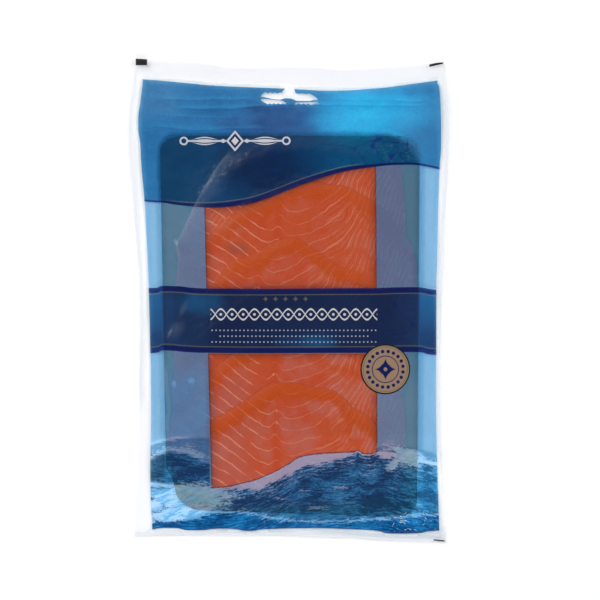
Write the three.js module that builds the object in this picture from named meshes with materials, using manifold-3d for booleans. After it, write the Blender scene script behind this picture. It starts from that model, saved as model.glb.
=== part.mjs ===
// A vacuum pack of sliced smoked salmon: two films sealed flat all round, with a
// board and six overlapping slices drawn tight between them, and a hang slot in
// the header. Lies on its back: +X to its right, +Y to its header, +Z out of its
// printed front. Millimetres. The origin is the middle of its footprint.
import * as THREE from 'three';
import { mergeVertices } from 'three/addons/utils/BufferGeometryUtils.js';
import Module from 'manifold-3d';

// Sealed films. The header and foot are the ends of the pack along Y.
const FILM_THICKNESS = 0.5;
const GRID_ACROSS = 26;
const GRID_ALONG = 38;
const NOMINAL_WIDTH = 172;
const NOMINAL_LENGTH = 264;

// The four wavy edges, as knots: [place along the edge, place of the edge].
const LEFT_EDGE = [[-134, -85.2], [-60, -82.9], [11, -82.9], [55, -86.3], [94, -89], [134, -84.6]];
const RIGHT_EDGE = [[-134, 87.3], [-90, 85.1], [-50, 84], [11, 85.3], [55, 87.3], [94, 89], [134, 85.9]];
const HEADER_EDGE = [
  [-85, 133.8], [-50, 131.7], [-32, 129], [10, 129.5], [30, 127.9], [57, 129.5], [87, 132.1],
];
const FOOT_EDGE = [[-85, -130.5], [-23, -130], [35, -131.7], [48, -132.8], [87, -133.8]];

// The board inside, and the film's slope down from it to the seal.
const BOARD_WIDTH = 144;
const BOARD_LENGTH = 210;
const BOARD_CORNER = 13;
const BOARD_CENTRE = new THREE.Vector2(0.7, -13.7);
const BOARD_TOP = 1.4;
const SEAL_SLOPE = 5;

// How far the free film lifts off the table.
const HEADER_FOLD_LIFT = 1.3;
const HEADER_FOLD_PITCH = 16;
const HEADER_FOLD_BEND = 0.9;
const HEADER_FOLD_LENGTH = 195;
const MARGIN_LIFT = 1.8;
const MARGIN_WAVE = 78;
const LEFT_PHASE = 3.6;
const RIGHT_PHASE = 1.3;
const FOOT_LIFT = 1.1;
const FOOT_WAVE = 52;
const FOOT_PHASE = 0.8;
const LIFT_REACH = 14;

// Slices lie like tiles: each has its foot on the board and its top on the one above.
const SLICE_COUNT = 6;
const SLICE_THICKNESS = 2;
const SLICE_HALF_WIDTH = 64;
const SLICE_LENGTH = 68;
const SLICE_PITCH = 27;
const FIRST_SLICE_TOP = 88.5;
const SLICE_SHOULDER_DROP = 37;
const SLICE_CENTRE_X = 0.7;
const SLICE_SHIFTS = [0.6, -0.8, -1.2, 1.0, 0.8, 2.0];
const SLICE_TURNS = [-2, 1.5, 2, -1.5, 1, -1];
const TENT_SPREAD = 1.08;
const CURVE_STEPS = 7;

// Hang slot: two rounded wings and a hump, the common hanger size.
const SLOT_WIDTH = 32;
const SLOT_HEIGHT = 6.6;
const SLOT_HUMP_BASE = 8.4;
const SLOT_HUMP_TOP = 4.4;
const SLOT_HUMP_RISE = 4;
const SLOT_CENTRE = new THREE.Vector2(0.6, 112.2);
const SLOT_TILT = THREE.MathUtils.degToRad(-2);
const SLOT_CUT_DEPTH = 20;

const FILM_COLOUR = 0x2f78b4;
const FILM_ROUGHNESS = 0.25;

const wasm = await Module();
wasm.setup();

// The height of a smooth curve through the knots, at one place along it.
function alongKnots(knots, place) {
  const last = knots.length - 1;
  const at = THREE.MathUtils.clamp(place, knots[0][0], knots[last][0]);
  const end = Math.max(1, knots.findIndex(([knot]) => knot >= at));
  const slope = (index) => {
    const before = knots[Math.max(index - 1, 0)];
    const after = knots[Math.min(index + 1, last)];
    return (after[1] - before[1]) / (after[0] - before[0]);
  };
  const [[x0, y0], [x1, y1]] = [knots[end - 1], knots[end]];
  const run = x1 - x0;
  const t = (at - x0) / run;
  const rise = y1 - y0;
  const [m0, m1] = [slope(end - 1) * run, slope(end) * run];
  return y0 + t * (m0 + t * (3 * rise - 2 * m0 - m1 + t * (m0 + m1 - 2 * rise)));
}

// How far a point lies outside the board's rounded outline, 0 on or inside it.
function outsideBoard(x, y) {
  const dx = Math.max(Math.abs(x - BOARD_CENTRE.x) - BOARD_WIDTH / 2 + BOARD_CORNER, 0);
  const dy = Math.max(Math.abs(y - BOARD_CENTRE.y) - BOARD_LENGTH / 2 + BOARD_CORNER, 0);
  return Math.max(Math.hypot(dx, dy) - BOARD_CORNER, 0);
}

// The free film's lift above the table: folds across the header, slow waves
// down the two margins, and ripples along the foot.
function filmLift(x, y) {
  const reach = THREE.MathUtils.smoothstep(outsideBoard(x, y), SEAL_SLOPE / 2, LIFT_REACH);
  const boardTopY = BOARD_CENTRE.y + BOARD_LENGTH / 2;
  const boardFootY = BOARD_CENTRE.y - BOARD_LENGTH / 2;
  const phase = (pitch, place, shift) => 0.5 - 0.5 * Math.cos((2 * Math.PI * place) / pitch + shift);
  const header = THREE.MathUtils.smoothstep(y, boardTopY, boardTopY + LIFT_REACH);
  const foot = 1 - THREE.MathUtils.smoothstep(y, boardFootY - LIFT_REACH, boardFootY);
  const bend = HEADER_FOLD_BEND * Math.sin((2 * Math.PI * x) / HEADER_FOLD_LENGTH);
  const folds = HEADER_FOLD_LIFT * header * phase(HEADER_FOLD_PITCH, y - boardTopY, bend);
  const side = Math.abs(x) / (NOMINAL_WIDTH / 2);
  const waves = MARGIN_LIFT * side * (1 - foot) * phase(MARGIN_WAVE, y, x > 0 ? RIGHT_PHASE : LEFT_PHASE);
  const ripples = FOOT_LIFT * foot * phase(FOOT_WAVE, x, FOOT_PHASE);
  return reach * (folds + waves + ripples);
}

function solid(geometry) {
  geometry.deleteAttribute('normal');
  geometry.deleteAttribute('uv');
  const merged = mergeVertices(geometry, 1e-4);
  return new wasm.Manifold(new wasm.Mesh({
    numProp: 3,
    vertProperties: new Float32Array(merged.attributes.position.array),
    triVerts: new Uint32Array(merged.index.array),
  }));
}

// Moves every vertex of a geometry by a rule from its old place to its new one.
function reshape(geometry, rule) {
  const place = geometry.attributes.position;
  const point = new THREE.Vector3();
  for (let i = 0; i < place.count; i += 1) {
    rule(point.fromBufferAttribute(place, i));
    place.setXYZ(i, point.x, point.y, point.z);
  }
  return geometry;
}

function extruded(shape, depth) {
  return new THREE.ExtrudeGeometry(shape, { depth, bevelEnabled: false, curveSegments: CURVE_STEPS });
}

// Both films sealed together, as one thin wavy sheet with the pack's outline.
function sealedFilms() {
  const flat = new THREE.BoxGeometry(
    NOMINAL_WIDTH, NOMINAL_LENGTH, FILM_THICKNESS, GRID_ACROSS, GRID_ALONG, 1,
  );
  return solid(reshape(flat, (point) => {
    const across = point.x / NOMINAL_WIDTH + 0.5;
    const along = point.y / NOMINAL_LENGTH + 0.5;
    const face = point.z + FILM_THICKNESS / 2;
    const y = THREE.MathUtils.lerp(alongKnots(FOOT_EDGE, point.x), alongKnots(HEADER_EDGE, point.x), along);
    const x = THREE.MathUtils.lerp(alongKnots(LEFT_EDGE, y), alongKnots(RIGHT_EDGE, y), across);
    point.set(x, y, face + filmLift(x, y));
  }));
}

// The board under the film, its edges sloping down to the seal.
function boardPlateau() {
  const half = new THREE.Vector2(BOARD_WIDTH / 2, BOARD_LENGTH / 2);
  const inner = BOARD_CORNER;
  const shape = new THREE.Shape();
  shape.moveTo(-half.x + inner, -half.y);
  shape.lineTo(half.x - inner, -half.y);
  shape.absarc(half.x - inner, -half.y + inner, inner, -Math.PI / 2, 0);
  shape.absarc(half.x - inner, half.y - inner, inner, 0, Math.PI / 2);
  shape.absarc(-half.x + inner, half.y - inner, inner, Math.PI / 2, Math.PI);
  shape.absarc(-half.x + inner, -half.y + inner, inner, Math.PI, Math.PI * 1.5);
  const plate = extruded(shape, BOARD_TOP);
  const spread = new THREE.Vector2((half.x + SEAL_SLOPE) / half.x, (half.y + SEAL_SLOPE) / half.y);
  return solid(reshape(plate, (point) => {
    if (point.z < BOARD_TOP / 2) {
      point.x *= spread.x;
      point.y *= spread.y;
    }
    point.x += BOARD_CENTRE.x;
    point.y += BOARD_CENTRE.y;
  }));
}

// One slice seen from above: a domed upper edge and a flatter lower one.
function sliceOutline() {
  const half = SLICE_HALF_WIDTH;
  const drop = SLICE_SHOULDER_DROP;
  const shape = new THREE.Shape();
  const foot = -SLICE_LENGTH;
  shape.moveTo(-half, -drop);
  shape.bezierCurveTo(-half * 0.8, -drop * 0.5, -half * 0.42, 0, 0, 0);
  shape.bezierCurveTo(half * 0.42, 0, half * 0.8, -drop * 0.5, half, -drop);
  shape.bezierCurveTo(half * 1.07, -drop * 1.25, half * 0.9, foot * 0.9, half * 0.6, foot * 0.95);
  shape.quadraticCurveTo(0, foot * 1.05, -half * 0.6, foot * 0.95);
  shape.bezierCurveTo(-half * 0.9, foot * 0.9, -half * 1.07, -drop * 1.25, -half, -drop);
  return shape;
}

// The height of a slice's top edge over the board: it lies on the slice above,
// whose own top falls from its edge to one thickness at its foot.
function pileHeight(index) {
  if (index === 0) {
    return SLICE_THICKNESS;
  }
  const above = pileHeight(index - 1);
  const under = THREE.MathUtils.lerp(above, SLICE_THICKNESS, SLICE_PITCH / SLICE_LENGTH);
  return under + SLICE_THICKNESS;
}

// A slice filled down to the table. Its top tilts from the pile to the board,
// and its walls lean out where the film tents over its edge.
function sliceWedge(index) {
  const topHeight = BOARD_TOP + pileHeight(index);
  const footHeight = BOARD_TOP + SLICE_THICKNESS;
  const wedge = extruded(sliceOutline(), 1);
  const turn = THREE.MathUtils.degToRad(SLICE_TURNS[index]);
  const middle = new THREE.Vector2(0, -SLICE_LENGTH / 2);
  const flat = new THREE.Vector2();
  return solid(reshape(wedge, (point) => {
    flat.set(point.x, point.y);
    if (point.z > 0.5) {
      point.z = THREE.MathUtils.lerp(topHeight, footHeight, -flat.y / SLICE_LENGTH);
    } else {
      flat.sub(middle).multiplyScalar(TENT_SPREAD).add(middle);
    }
    flat.rotateAround(middle, turn);
    point.x = flat.x + SLICE_CENTRE_X + SLICE_SHIFTS[index];
    point.y = flat.y + FIRST_SLICE_TOP - index * SLICE_PITCH;
  }));
}

function hangSlot() {
  const radius = SLOT_HEIGHT / 2;
  const wing = SLOT_WIDTH / 2 - radius;
  const shape = new THREE.Shape();
  shape.moveTo(-wing, -radius);
  shape.lineTo(wing, -radius);
  shape.absarc(wing, 0, radius, -Math.PI / 2, Math.PI / 2);
  shape.lineTo(SLOT_HUMP_BASE / 2, radius);
  shape.lineTo(SLOT_HUMP_TOP / 2, radius + SLOT_HUMP_RISE - SLOT_HUMP_TOP / 2);
  shape.absarc(0, radius + SLOT_HUMP_RISE - SLOT_HUMP_TOP / 2, SLOT_HUMP_TOP / 2, 0, Math.PI);
  shape.lineTo(-SLOT_HUMP_BASE / 2, radius);
  shape.absarc(-wing, 0, radius, Math.PI / 2, Math.PI * 1.5);
  const cut = extruded(shape, SLOT_CUT_DEPTH);
  cut.rotateZ(SLOT_TILT);
  cut.translate(SLOT_CENTRE.x, SLOT_CENTRE.y, -SLOT_CUT_DEPTH / 2);
  return solid(cut);
}

function sealedPack() {
  let pack = sealedFilms().add(boardPlateau());
  for (let index = 0; index < SLICE_COUNT; index += 1) {
    pack = pack.add(sliceWedge(index));
  }
  return pack.subtract(hangSlot());
}

function toMesh(manifold, name, colour) {
  const { vertProperties, triVerts } = manifold.getMesh();
  const geometry = new THREE.BufferGeometry();
  geometry.setAttribute('position', new THREE.BufferAttribute(vertProperties, 3));
  geometry.setIndex(new THREE.BufferAttribute(triVerts, 1));
  geometry.computeVertexNormals();
  geometry.computeBoundingBox();
  const middle = geometry.boundingBox.getCenter(new THREE.Vector3());
  geometry.translate(-middle.x, -middle.y, -geometry.boundingBox.min.z);
  const finish = new THREE.MeshStandardMaterial({ color: colour, roughness: FILM_ROUGHNESS, metalness: 0 });
  const mesh = new THREE.Mesh(geometry, finish);
  mesh.name = name;
  return mesh;
}

const salmonPack = new THREE.Group();
salmonPack.add(toMesh(sealedPack(), 'pouch', FILM_COLOUR));

export default salmonPack;
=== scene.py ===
"""A vacuum pack of sliced smoked salmon, lying on its back with its print up.

+X is the pack's right, +Y its header with the hang slot, +Z out of its front.
Sizes are in millimetres until a mesh is finished, and then in metres.
"""

import math
import random

import bmesh
import bpy
import numpy as np
from mathutils import Matrix, Vector
from mathutils.bvhtree import BVHTree


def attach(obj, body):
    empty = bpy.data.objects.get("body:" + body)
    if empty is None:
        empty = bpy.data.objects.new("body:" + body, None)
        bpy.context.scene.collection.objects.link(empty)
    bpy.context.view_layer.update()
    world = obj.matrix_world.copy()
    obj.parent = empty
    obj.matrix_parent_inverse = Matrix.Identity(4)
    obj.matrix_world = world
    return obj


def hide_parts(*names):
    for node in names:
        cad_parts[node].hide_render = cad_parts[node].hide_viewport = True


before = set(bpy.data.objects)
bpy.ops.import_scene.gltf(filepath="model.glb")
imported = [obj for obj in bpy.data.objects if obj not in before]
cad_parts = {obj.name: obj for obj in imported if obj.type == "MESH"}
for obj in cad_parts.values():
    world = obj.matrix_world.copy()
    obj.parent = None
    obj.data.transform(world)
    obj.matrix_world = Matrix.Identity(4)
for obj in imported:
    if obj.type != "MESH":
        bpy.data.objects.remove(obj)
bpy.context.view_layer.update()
MM = 0.001

# ---------------------------------------------------------------- dimensions
# Film outline, as knots: (place along the edge, place of the edge).
LEFT_EDGE = ((-134, -85.2), (-60, -82.9), (11, -82.9), (55, -86.3), (94, -89), (134, -84.6))
RIGHT_EDGE = ((-134, 87.3), (-90, 85.1), (-50, 84), (11, 85.3), (55, 87.3), (94, 89), (134, 85.9))
HEADER_EDGE = (
    (-85, 133.8), (-50, 131.7), (-32, 129), (10, 129.5), (30, 127.9), (57, 129.5), (87, 132.1),
)
FOOT_EDGE = ((-85, -130.5), (-23, -130), (35, -131.7), (48, -132.8), (87, -133.8))
NOMINAL_WIDTH = 172
NOMINAL_LENGTH = 264
FILM_CELL = 1.05
FILM_GAP = 0.22
TABLE_GAP = 0.12

BOARD_WIDTH = 144
BOARD_LENGTH = 210
BOARD_CORNER = 13
BOARD_CENTRE = (0.7, -13.7)
BOARD_UNDERSIDE = 0.3
BOARD_SKEW = 0.019
BOARD_SKEW_RIGHT = 0.0075
# The foot's left corner is trimmed more than the others, and the rest of the foot hangs lower.
BOARD_TRIM = 5.0
BOARD_TRIM_UP = 6.5
BOARD_FOOT_DROP = 1.3
BOARD_TRIM_REACH = 24
BOARD_ROWS = 24
BOARD_THICKNESS = 0.85
BOARD_CORNER_SEGMENTS = 12
BOARD_EDGE_ROUNDING = 0.12
# The ends of a level edge are within this height of each other.
LEVEL_WITHIN = 0.01

HEADER_FOLD_LIFT = 1.3
HEADER_FOLD_PITCH = 16
HEADER_FOLD_BEND = 0.9
HEADER_FOLD_LENGTH = 195
MARGIN_LIFT = 1.8
MARGIN_WAVE = 78
LEFT_PHASE = 3.6
RIGHT_PHASE = 1.3
FOOT_LIFT = 1.1
FOOT_WAVE = 52
FOOT_PHASE = 0.8
LIFT_REACH = 14
SEAL_SLOPE = 5

SLICE_COUNT = 6
SLICE_THICKNESS = 2.0
SLICE_GAP = 0.2
SLICE_LENGTH = 66
SLICE_PITCH = 27
FIRST_SLICE_TOP = 88.5
SLICE_CENTRE_X = 0.7
SLICE_SEAMS = (-9.0, -5.8, -16.4, -9.0, -8.3, -6.4)
# Each slice's top edge: (place across the pack, how far below the slice's nominal top).
SLICE_TOPS = (
    (
        (-62, 56), (-58.5, 46.5), (-53.5, 35.5), (-44.7, 22.2), (-18.6, 4), (-5, 0), (20, 1.5),
        (45, 5), (60, 11), (65, 17),
    ),
    (
        (-63, 40), (-59, 35), (-45.8, 25.7), (-32.5, 14), (-5.8, 0.4), (10, -3.4), (23, -3.2),
        (34, -0.9), (47.3, 6.8), (59.6, 18), (67.4, 27), (71.6, 33),
    ),
    (
        (-64, 48), (-52, 36), (-38.8, 21.7), (-33, 14.5), (-25.8, 11.5), (-15.8, 7), (-11.7, 3.7),
        (-4.7, 0.2), (3, 0), (10.5, 3.7), (20.2, 10.6), (27.2, 14.8), (39.6, 18.9), (47.2, 25.9),
        (58, 33), (66, 42),
    ),
    ((-64.5, 40), (-45, 20), (-20, 3), (-5, 0), (10, 1), (30, 8), (47, 20), (63, 38)),
    (
        (-66, 41), (-44.4, 20.5), (-36.6, 13.7), (-20, 4), (-8, 0), (10, -1), (30, 2), (47, 8),
        (58, 18), (65, 34),
    ),
    (
        (-65, 39), (-43, 19.7), (-34.6, 15), (-22, 6.7), (-13.2, 1.8), (-7.4, -1.1), (0.4, -1.1),
        (12, 0.3), (21.8, 2.3), (30.6, 6.7), (35.4, 13), (41.2, 16.4), (47, 19.9), (63, 37),
    ),
)
# Millimetres to one unit of a slice's UV map.
PATTERN_UNIT = 100
SLICE_CELLS = (96, 48)
SLICE_SHARP = math.radians(50)
SLICE_ROUNDING = 2.4
SLICE_FEATHER = 8.5
SLICE_EDGE = 0.18
# The share of a slice's thickness that its rounding takes off, and of the gap under it that closes
# where its top edge lies on the slice before.
ROUNDED_OFF = 0.6
GAP_CLOSED = 0.8
SLICE_OFF_BOARD = 0.1
SHORTEST_SLICE = 6
# Ripples in a slice's top and foot edges, two for each: (size, turns).
EDGE_RIPPLES = ((0.5, 9), (0.35, 23), (1.5, 4), (0.8, 9))
# How much thinner a slice is at its sides, and how far out it starts and ends to thin.
SIDE_THINNING = 0.5
SIDE_THINNING_REACH = (30, 68)
CORNER_PULL = 0.035
TOP_EDGE_PLACES = np.arange(-75, 76.0)
# How far each slice's foot hangs lower at its sides, and what is trimmed off at the left.
SLICE_SIDE_DROPS = (9, 9, 9, 9, 9, -7)
SLICE_FOOT_TRIMS = (0, 0, 0, 0, 0, 8)
FOOT_TRIM_REACH = (0.4, 0.95)

SLOT_CENTRE = (0.6, 112.2)
# The slot's openings in both films, over and under the strip left across it. A line of teeth joins
# the first two places of each.
SLOT_OPENINGS = (
    (
        (-13.4, 3.1), (-4.2, 3.0), (-3.7, 3.8), (-2.3, 5.3), (-1.6, 6.6), (0, 7.2), (1.6, 6.6), (2.4, 5.3),
        (3.3, 2.5), (5, 2.3), (7, 2.45), (9, 2.15), (11, 2.3), (12.2, 1.9), (13.5, 1.1), (14.6, 0.2),
        (15.6, -0.84), (13, -1.06), (11.3, -1.67), (3.8, -1.5), (1.9, -0.67), (0.8, -0.28), (-2.6, -0.12),
        (-5.1, -0.95), (-9.5, -0.56), (-13.7, 0.44), (-15.9, 0.72), (-15.2, 2), (-14.4, 2.7),
    ),
    (
        (-2.6, -3.45), (-12.3, -3.45), (-14.3, -2.3), (-15.9, -1.3), (-15.9, -0.45), (-13.7, -0.5),
        (-9.5, -1.0), (-5.3, -1.3), (-3.4, -1.7), (-1.9, -2.6),
    ),
    (
        (11.6, -3.65), (2.6, -3.45), (3.5, -2.5), (11.3, -2.35), (14.6, -2.1), (15.9, -2.2), (15.6, -3.2),
    ),
)
SLOT_TOOTH = 1.25
SLOT_BITE = 0.5
SLOT_CUT = 5

# The grid that the front film's height is worked out on: half its size, and its step.
RELIEF_REACH = (94, 140)
RELIEF_STEP = 1.0
OVER_EVERYTHING = 50
UNDER_EVERYTHING = -1.0
DRAPE_PASSES = 150
SPREAD_STEPS = 2
SOFTEN_PASSES = 7


# ------------------------------------------------------------------- helpers
def along_knots(knots, place):
    """Heights of the smooth curve through the knots, at places along it."""
    at, value = np.array(knots, float).T
    last = len(at) - 1
    place = np.clip(place, at[0], at[last])
    end = np.clip(np.searchsorted(at, place), 1, last)
    ends = np.arange(last + 1)
    before, after = np.maximum(ends - 1, 0), np.minimum(ends + 1, last)
    slope = (value[after] - value[before]) / (at[after] - at[before])
    run = at[end] - at[end - 1]
    rise = value[end] - value[end - 1]
    t = (place - at[end - 1]) / run
    m0, m1 = slope[end - 1] * run, slope[end] * run
    return value[end - 1] + t * (m0 + t * (3 * rise - 2 * m0 - m1 + t * (m0 + m1 - 2 * rise)))


def smoothstep(value, low, high):
    t = np.clip((value - low) / (high - low), 0, 1)
    return t * t * (3 - 2 * t)


def vertex_places(mesh):
    places = np.zeros(len(mesh.vertices) * 3)
    mesh.vertices.foreach_get("co", places)
    return places.reshape(-1, 3)


def set_vertex_places(mesh, places):
    mesh.vertices.foreach_set("co", np.ascontiguousarray(places, float).ravel())
    mesh.update()


def new_piece(name, body):
    """An object of its own, made from a bmesh that it uses up."""
    mesh = bpy.data.meshes.new(name)
    body.to_mesh(mesh)
    body.free()
    piece = bpy.data.objects.new(name, mesh)
    bpy.context.scene.collection.objects.link(piece)
    return piece


def shade_smooth(piece, sharp=math.pi):
    """Smooth shading, with edges kept crisp where faces meet at more than an angle."""
    piece.data.polygons.foreach_set("use_smooth", [True] * len(piece.data.polygons))
    piece.data.set_sharp_from_angle(angle=sharp)


# ------------------------------------------------------------ film's free lift
def outside_board(x, y):
    """How far a point lies outside the board's rounded outline."""
    dx = np.maximum(np.abs(x - BOARD_CENTRE[0]) - BOARD_WIDTH / 2 + BOARD_CORNER, 0)
    dy = np.maximum(np.abs(y - BOARD_CENTRE[1]) - BOARD_LENGTH / 2 + BOARD_CORNER, 0)
    return np.maximum(np.hypot(dx, dy) - BOARD_CORNER, 0)


def film_lift(x, y):
    """The free film's lift off the table: header folds, margin waves, foot ripples."""
    reach = smoothstep(outside_board(x, y), SEAL_SLOPE / 2, LIFT_REACH)
    board_top = BOARD_CENTRE[1] + BOARD_LENGTH / 2
    board_foot = BOARD_CENTRE[1] - BOARD_LENGTH / 2

    def wave(pitch, place, shift):
        return 0.5 - 0.5 * np.cos(2 * math.pi * place / pitch + shift)

    header = smoothstep(y, board_top, board_top + LIFT_REACH)
    foot = 1 - smoothstep(y, board_foot - LIFT_REACH, board_foot)
    bend = HEADER_FOLD_BEND * np.sin(2 * math.pi * x / HEADER_FOLD_LENGTH)
    folds = HEADER_FOLD_LIFT * header * wave(HEADER_FOLD_PITCH, y - board_top, bend)
    side = np.abs(x) / (NOMINAL_WIDTH / 2)
    phase = np.where(x > 0, RIGHT_PHASE, LEFT_PHASE)
    waves = MARGIN_LIFT * side * (1 - foot) * wave(MARGIN_WAVE, y, phase)
    ripples = FOOT_LIFT * foot * wave(FOOT_WAVE, x, FOOT_PHASE)
    return reach * (folds + waves + ripples)


# --------------------------------------------------------------------- slices
def pile_height(index):
    """Height of a slice's top edge over the board: it lies on the slice above it."""
    if index == 0:
        return SLICE_THICKNESS
    above = pile_height(index - 1)
    under = above + (SLICE_THICKNESS - above) * SLICE_PITCH / SLICE_LENGTH
    return under + SLICE_THICKNESS


def slice_outline(across, index):
    """(x, top edge, foot edge) of a slice at places from -1 to 1 across it."""
    wander = random.Random(20 + index)
    ripples = [
        size * np.sin(turns * across + wander.uniform(0, 2 * math.pi)) for size, turns in EDGE_RIPPLES
    ]
    left, right = SLICE_TOPS[index][0][0], SLICE_TOPS[index][-1][0]
    x = left + (right - left) * (across + 1) / 2
    top = ripples[0] + ripples[1] - along_knots(SLICE_TOPS[index], x)
    foot = ripples[2] + ripples[3] - SLICE_LENGTH - SLICE_SIDE_DROPS[index] * across**4
    foot = foot + SLICE_FOOT_TRIMS[index] * smoothstep(-across, *FOOT_TRIM_REACH)
    return x, top, np.minimum(foot, top - SHORTEST_SLICE)


def side_taper(x):
    """Slices thin out towards the pack's sides, all alike."""
    return 1 - SIDE_THINNING * smoothstep(np.abs(x - SLICE_CENTRE_X), *SIDE_THINNING_REACH)


def slice_surface(index, x, y):
    """Height of a slice's upper surface at a place on the pack."""
    below = np.clip((FIRST_SLICE_TOP - index * SLICE_PITCH - y) / SLICE_LENGTH, 0, 1)
    top = pile_height(index)
    height = top + (SLICE_THICKNESS - top) * below
    return BOARD_UNDERSIDE + BOARD_THICKNESS + SLICE_OFF_BOARD + height * side_taper(x)


def salmon_slice(index):
    """A slice with a rounded and feathered top edge, shaped from a flat slab two units wide."""
    body = bmesh.new()
    bmesh.ops.create_grid(body, x_segments=SLICE_CELLS[0], y_segments=SLICE_CELLS[1], size=1)
    bmesh.ops.solidify(body, geom=body.faces[:], thickness=1)
    slice_piece = new_piece(f"salmon_slice_{index + 1}", body)
    flat = vertex_places(slice_piece.data)
    across, along, upper = flat[:, 0], (1 - flat[:, 1]) / 2, flat[:, 2] > -0.5
    x, top, foot = slice_outline(across, index)
    pulled_in = CORNER_PULL * np.abs(across) ** 6 * (2 * along - 1) ** 2
    x = SLICE_CENTRE_X + (x - SLICE_CENTRE_X) * (1 - pulled_in)
    down = top + (foot - top) * along
    y = down + FIRST_SLICE_TOP - index * SLICE_PITCH
    slope = np.gradient(along_knots(SLICE_TOPS[index], TOP_EDGE_PLACES))
    lean = np.hypot(1, np.interp(x, TOP_EDGE_PLACES, slope))
    top_edge = (top - foot) * along / lean
    side_edge = (x.max() - x.min()) / 2 * (1 - np.abs(across))
    edge = np.minimum.reduce([top_edge, (top - foot) * (1 - along), side_edge])
    rounding = 1 - np.sqrt(1 - (1 - np.clip(edge / SLICE_ROUNDING, 0, 1)) ** 2)
    feather = (1 - np.clip(top_edge / SLICE_FEATHER, 0, 1)) ** 2
    thickness = (SLICE_THICKNESS - SLICE_GAP) * side_taper(x)
    thinned = np.maximum(ROUNDED_OFF * thickness * rounding, (thickness - SLICE_EDGE) * feather)
    surface = slice_surface(index, x, y)
    underside = surface - thickness - GAP_CLOSED * SLICE_GAP * feather
    z = np.where(upper, surface - thinned, underside)
    set_vertex_places(slice_piece.data, np.column_stack([x, y, z]))
    name_pattern(slice_piece.data, x - SLICE_SEAMS[index], -down)
    write_rim(slice_piece.data, top_edge)
    shade_smooth(slice_piece, SLICE_SHARP)
    return slice_piece


def write_rim(mesh, depth):
    """Keeps each vertex's distance from its piece's rim, in millimetres."""
    rim = mesh.attributes.new("rim", "FLOAT", "POINT")
    rim.data.foreach_set("value", depth)


def name_pattern(mesh, across, down):
    """Writes the distance from the seam and from the slice's nominal top to the UV map."""
    layer = mesh.uv_layers.new(name="slice")
    corners = np.zeros(len(mesh.loops), int)
    mesh.loops.foreach_get("vertex_index", corners)
    layer.data.foreach_set("uv", np.column_stack([across, down])[corners].ravel() / PATTERN_UNIT)


# ---------------------------------------------------------------------- board
def rounded_board():
    """The gold board: rounded corners, sides that lean a little, and a trimmed foot."""
    body = bmesh.new()
    bmesh.ops.create_grid(body, x_segments=1, y_segments=BOARD_ROWS, size=0.5)
    for vert in body.verts:
        vert.co.x *= BOARD_WIDTH
        vert.co.y *= BOARD_LENGTH
    corners = [vert for vert in body.verts if len(vert.link_edges) == 2]
    bmesh.ops.bevel(
        body, geom=corners, offset=BOARD_CORNER, segments=BOARD_CORNER_SEGMENTS,
        profile=0.5, affect="VERTICES", material=-1,
    )
    bmesh.ops.solidify(body, geom=body.faces[:], thickness=BOARD_THICKNESS)
    rim = [
        edge for edge in body.edges
        if abs(edge.verts[0].co.z - edge.verts[1].co.z) < LEVEL_WITHIN
    ]
    bmesh.ops.bevel(
        body, geom=rim, offset=BOARD_EDGE_ROUNDING, segments=2,
        profile=0.5, affect="EDGES", material=-1,
    )
    half = BOARD_LENGTH / 2
    for vert in body.verts:
        skew = BOARD_SKEW if vert.co.x < 0 else -BOARD_SKEW_RIGHT
        vert.co.x += skew * (half - vert.co.y)
        foot = smoothstep(-vert.co.y, half - BOARD_TRIM_REACH, half - BOARD_CORNER)
        left = (1 - 2 * vert.co.x / BOARD_WIDTH) / 2
        vert.co.x += BOARD_TRIM * foot * (vert.co.x < 0)
        vert.co.y += foot * (BOARD_TRIM_UP * left**4 - BOARD_FOOT_DROP)
    lift = Vector((*BOARD_CENTRE, BOARD_UNDERSIDE + BOARD_THICKNESS))
    bmesh.ops.translate(body, verts=body.verts[:], vec=lift)
    return new_piece("gold_board", body)


# ----------------------------------------------------------------------- film
def relief_grid():
    """(places across, places along, both as a grid) over the whole pack."""
    xs, ys = (np.arange(-reach, reach + RELIEF_STEP / 2, RELIEF_STEP) for reach in RELIEF_REACH)
    return xs, ys, *np.meshgrid(xs, ys)


def contents_height(pieces, grid_x, grid_y):
    """Height of what is sealed in, seen from above, at each place of the grid."""
    stack = bmesh.new()
    for piece in pieces:
        stack.from_mesh(piece.data)
    tree = BVHTree.FromBMesh(stack)
    stack.free()
    down = Vector((0, 0, -1))
    places = (Vector((x, y, OVER_EVERYTHING)) for x, y in zip(grid_x.ravel(), grid_y.ravel()))
    hits = (tree.ray_cast(place, down)[0] for place in places)
    heights = [hit.z if hit else UNDER_EVERYTHING for hit in hits]
    return np.array(heights).reshape(grid_x.shape)


def neighbours(height):
    """The mean of the four places next to each place."""
    padded = np.pad(height, 1, mode="edge")
    return (padded[:-2, 1:-1] + padded[2:, 1:-1] + padded[1:-1, :-2] + padded[1:-1, 2:]) / 4


def spread(height, steps):
    """Widens high places by a number of grid steps each way."""
    for _ in range(steps):
        padded = np.pad(height, 1, mode="edge")
        height = np.maximum.reduce([
            padded[1:-1, 1:-1], padded[:-2, 1:-1], padded[2:, 1:-1], padded[1:-1, :-2], padded[1:-1, 2:],
        ])
    return height


def draped(support, passes):
    """A film pulled tight over its support, bridging its steps and hollows."""
    support = spread(support, SPREAD_STEPS)
    for _ in range(SOFTEN_PASSES):
        support = neighbours(support)
    film = support.copy()
    for _ in range(passes):
        film = np.maximum(support, neighbours(film))
    return neighbours(neighbours(film))


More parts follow.
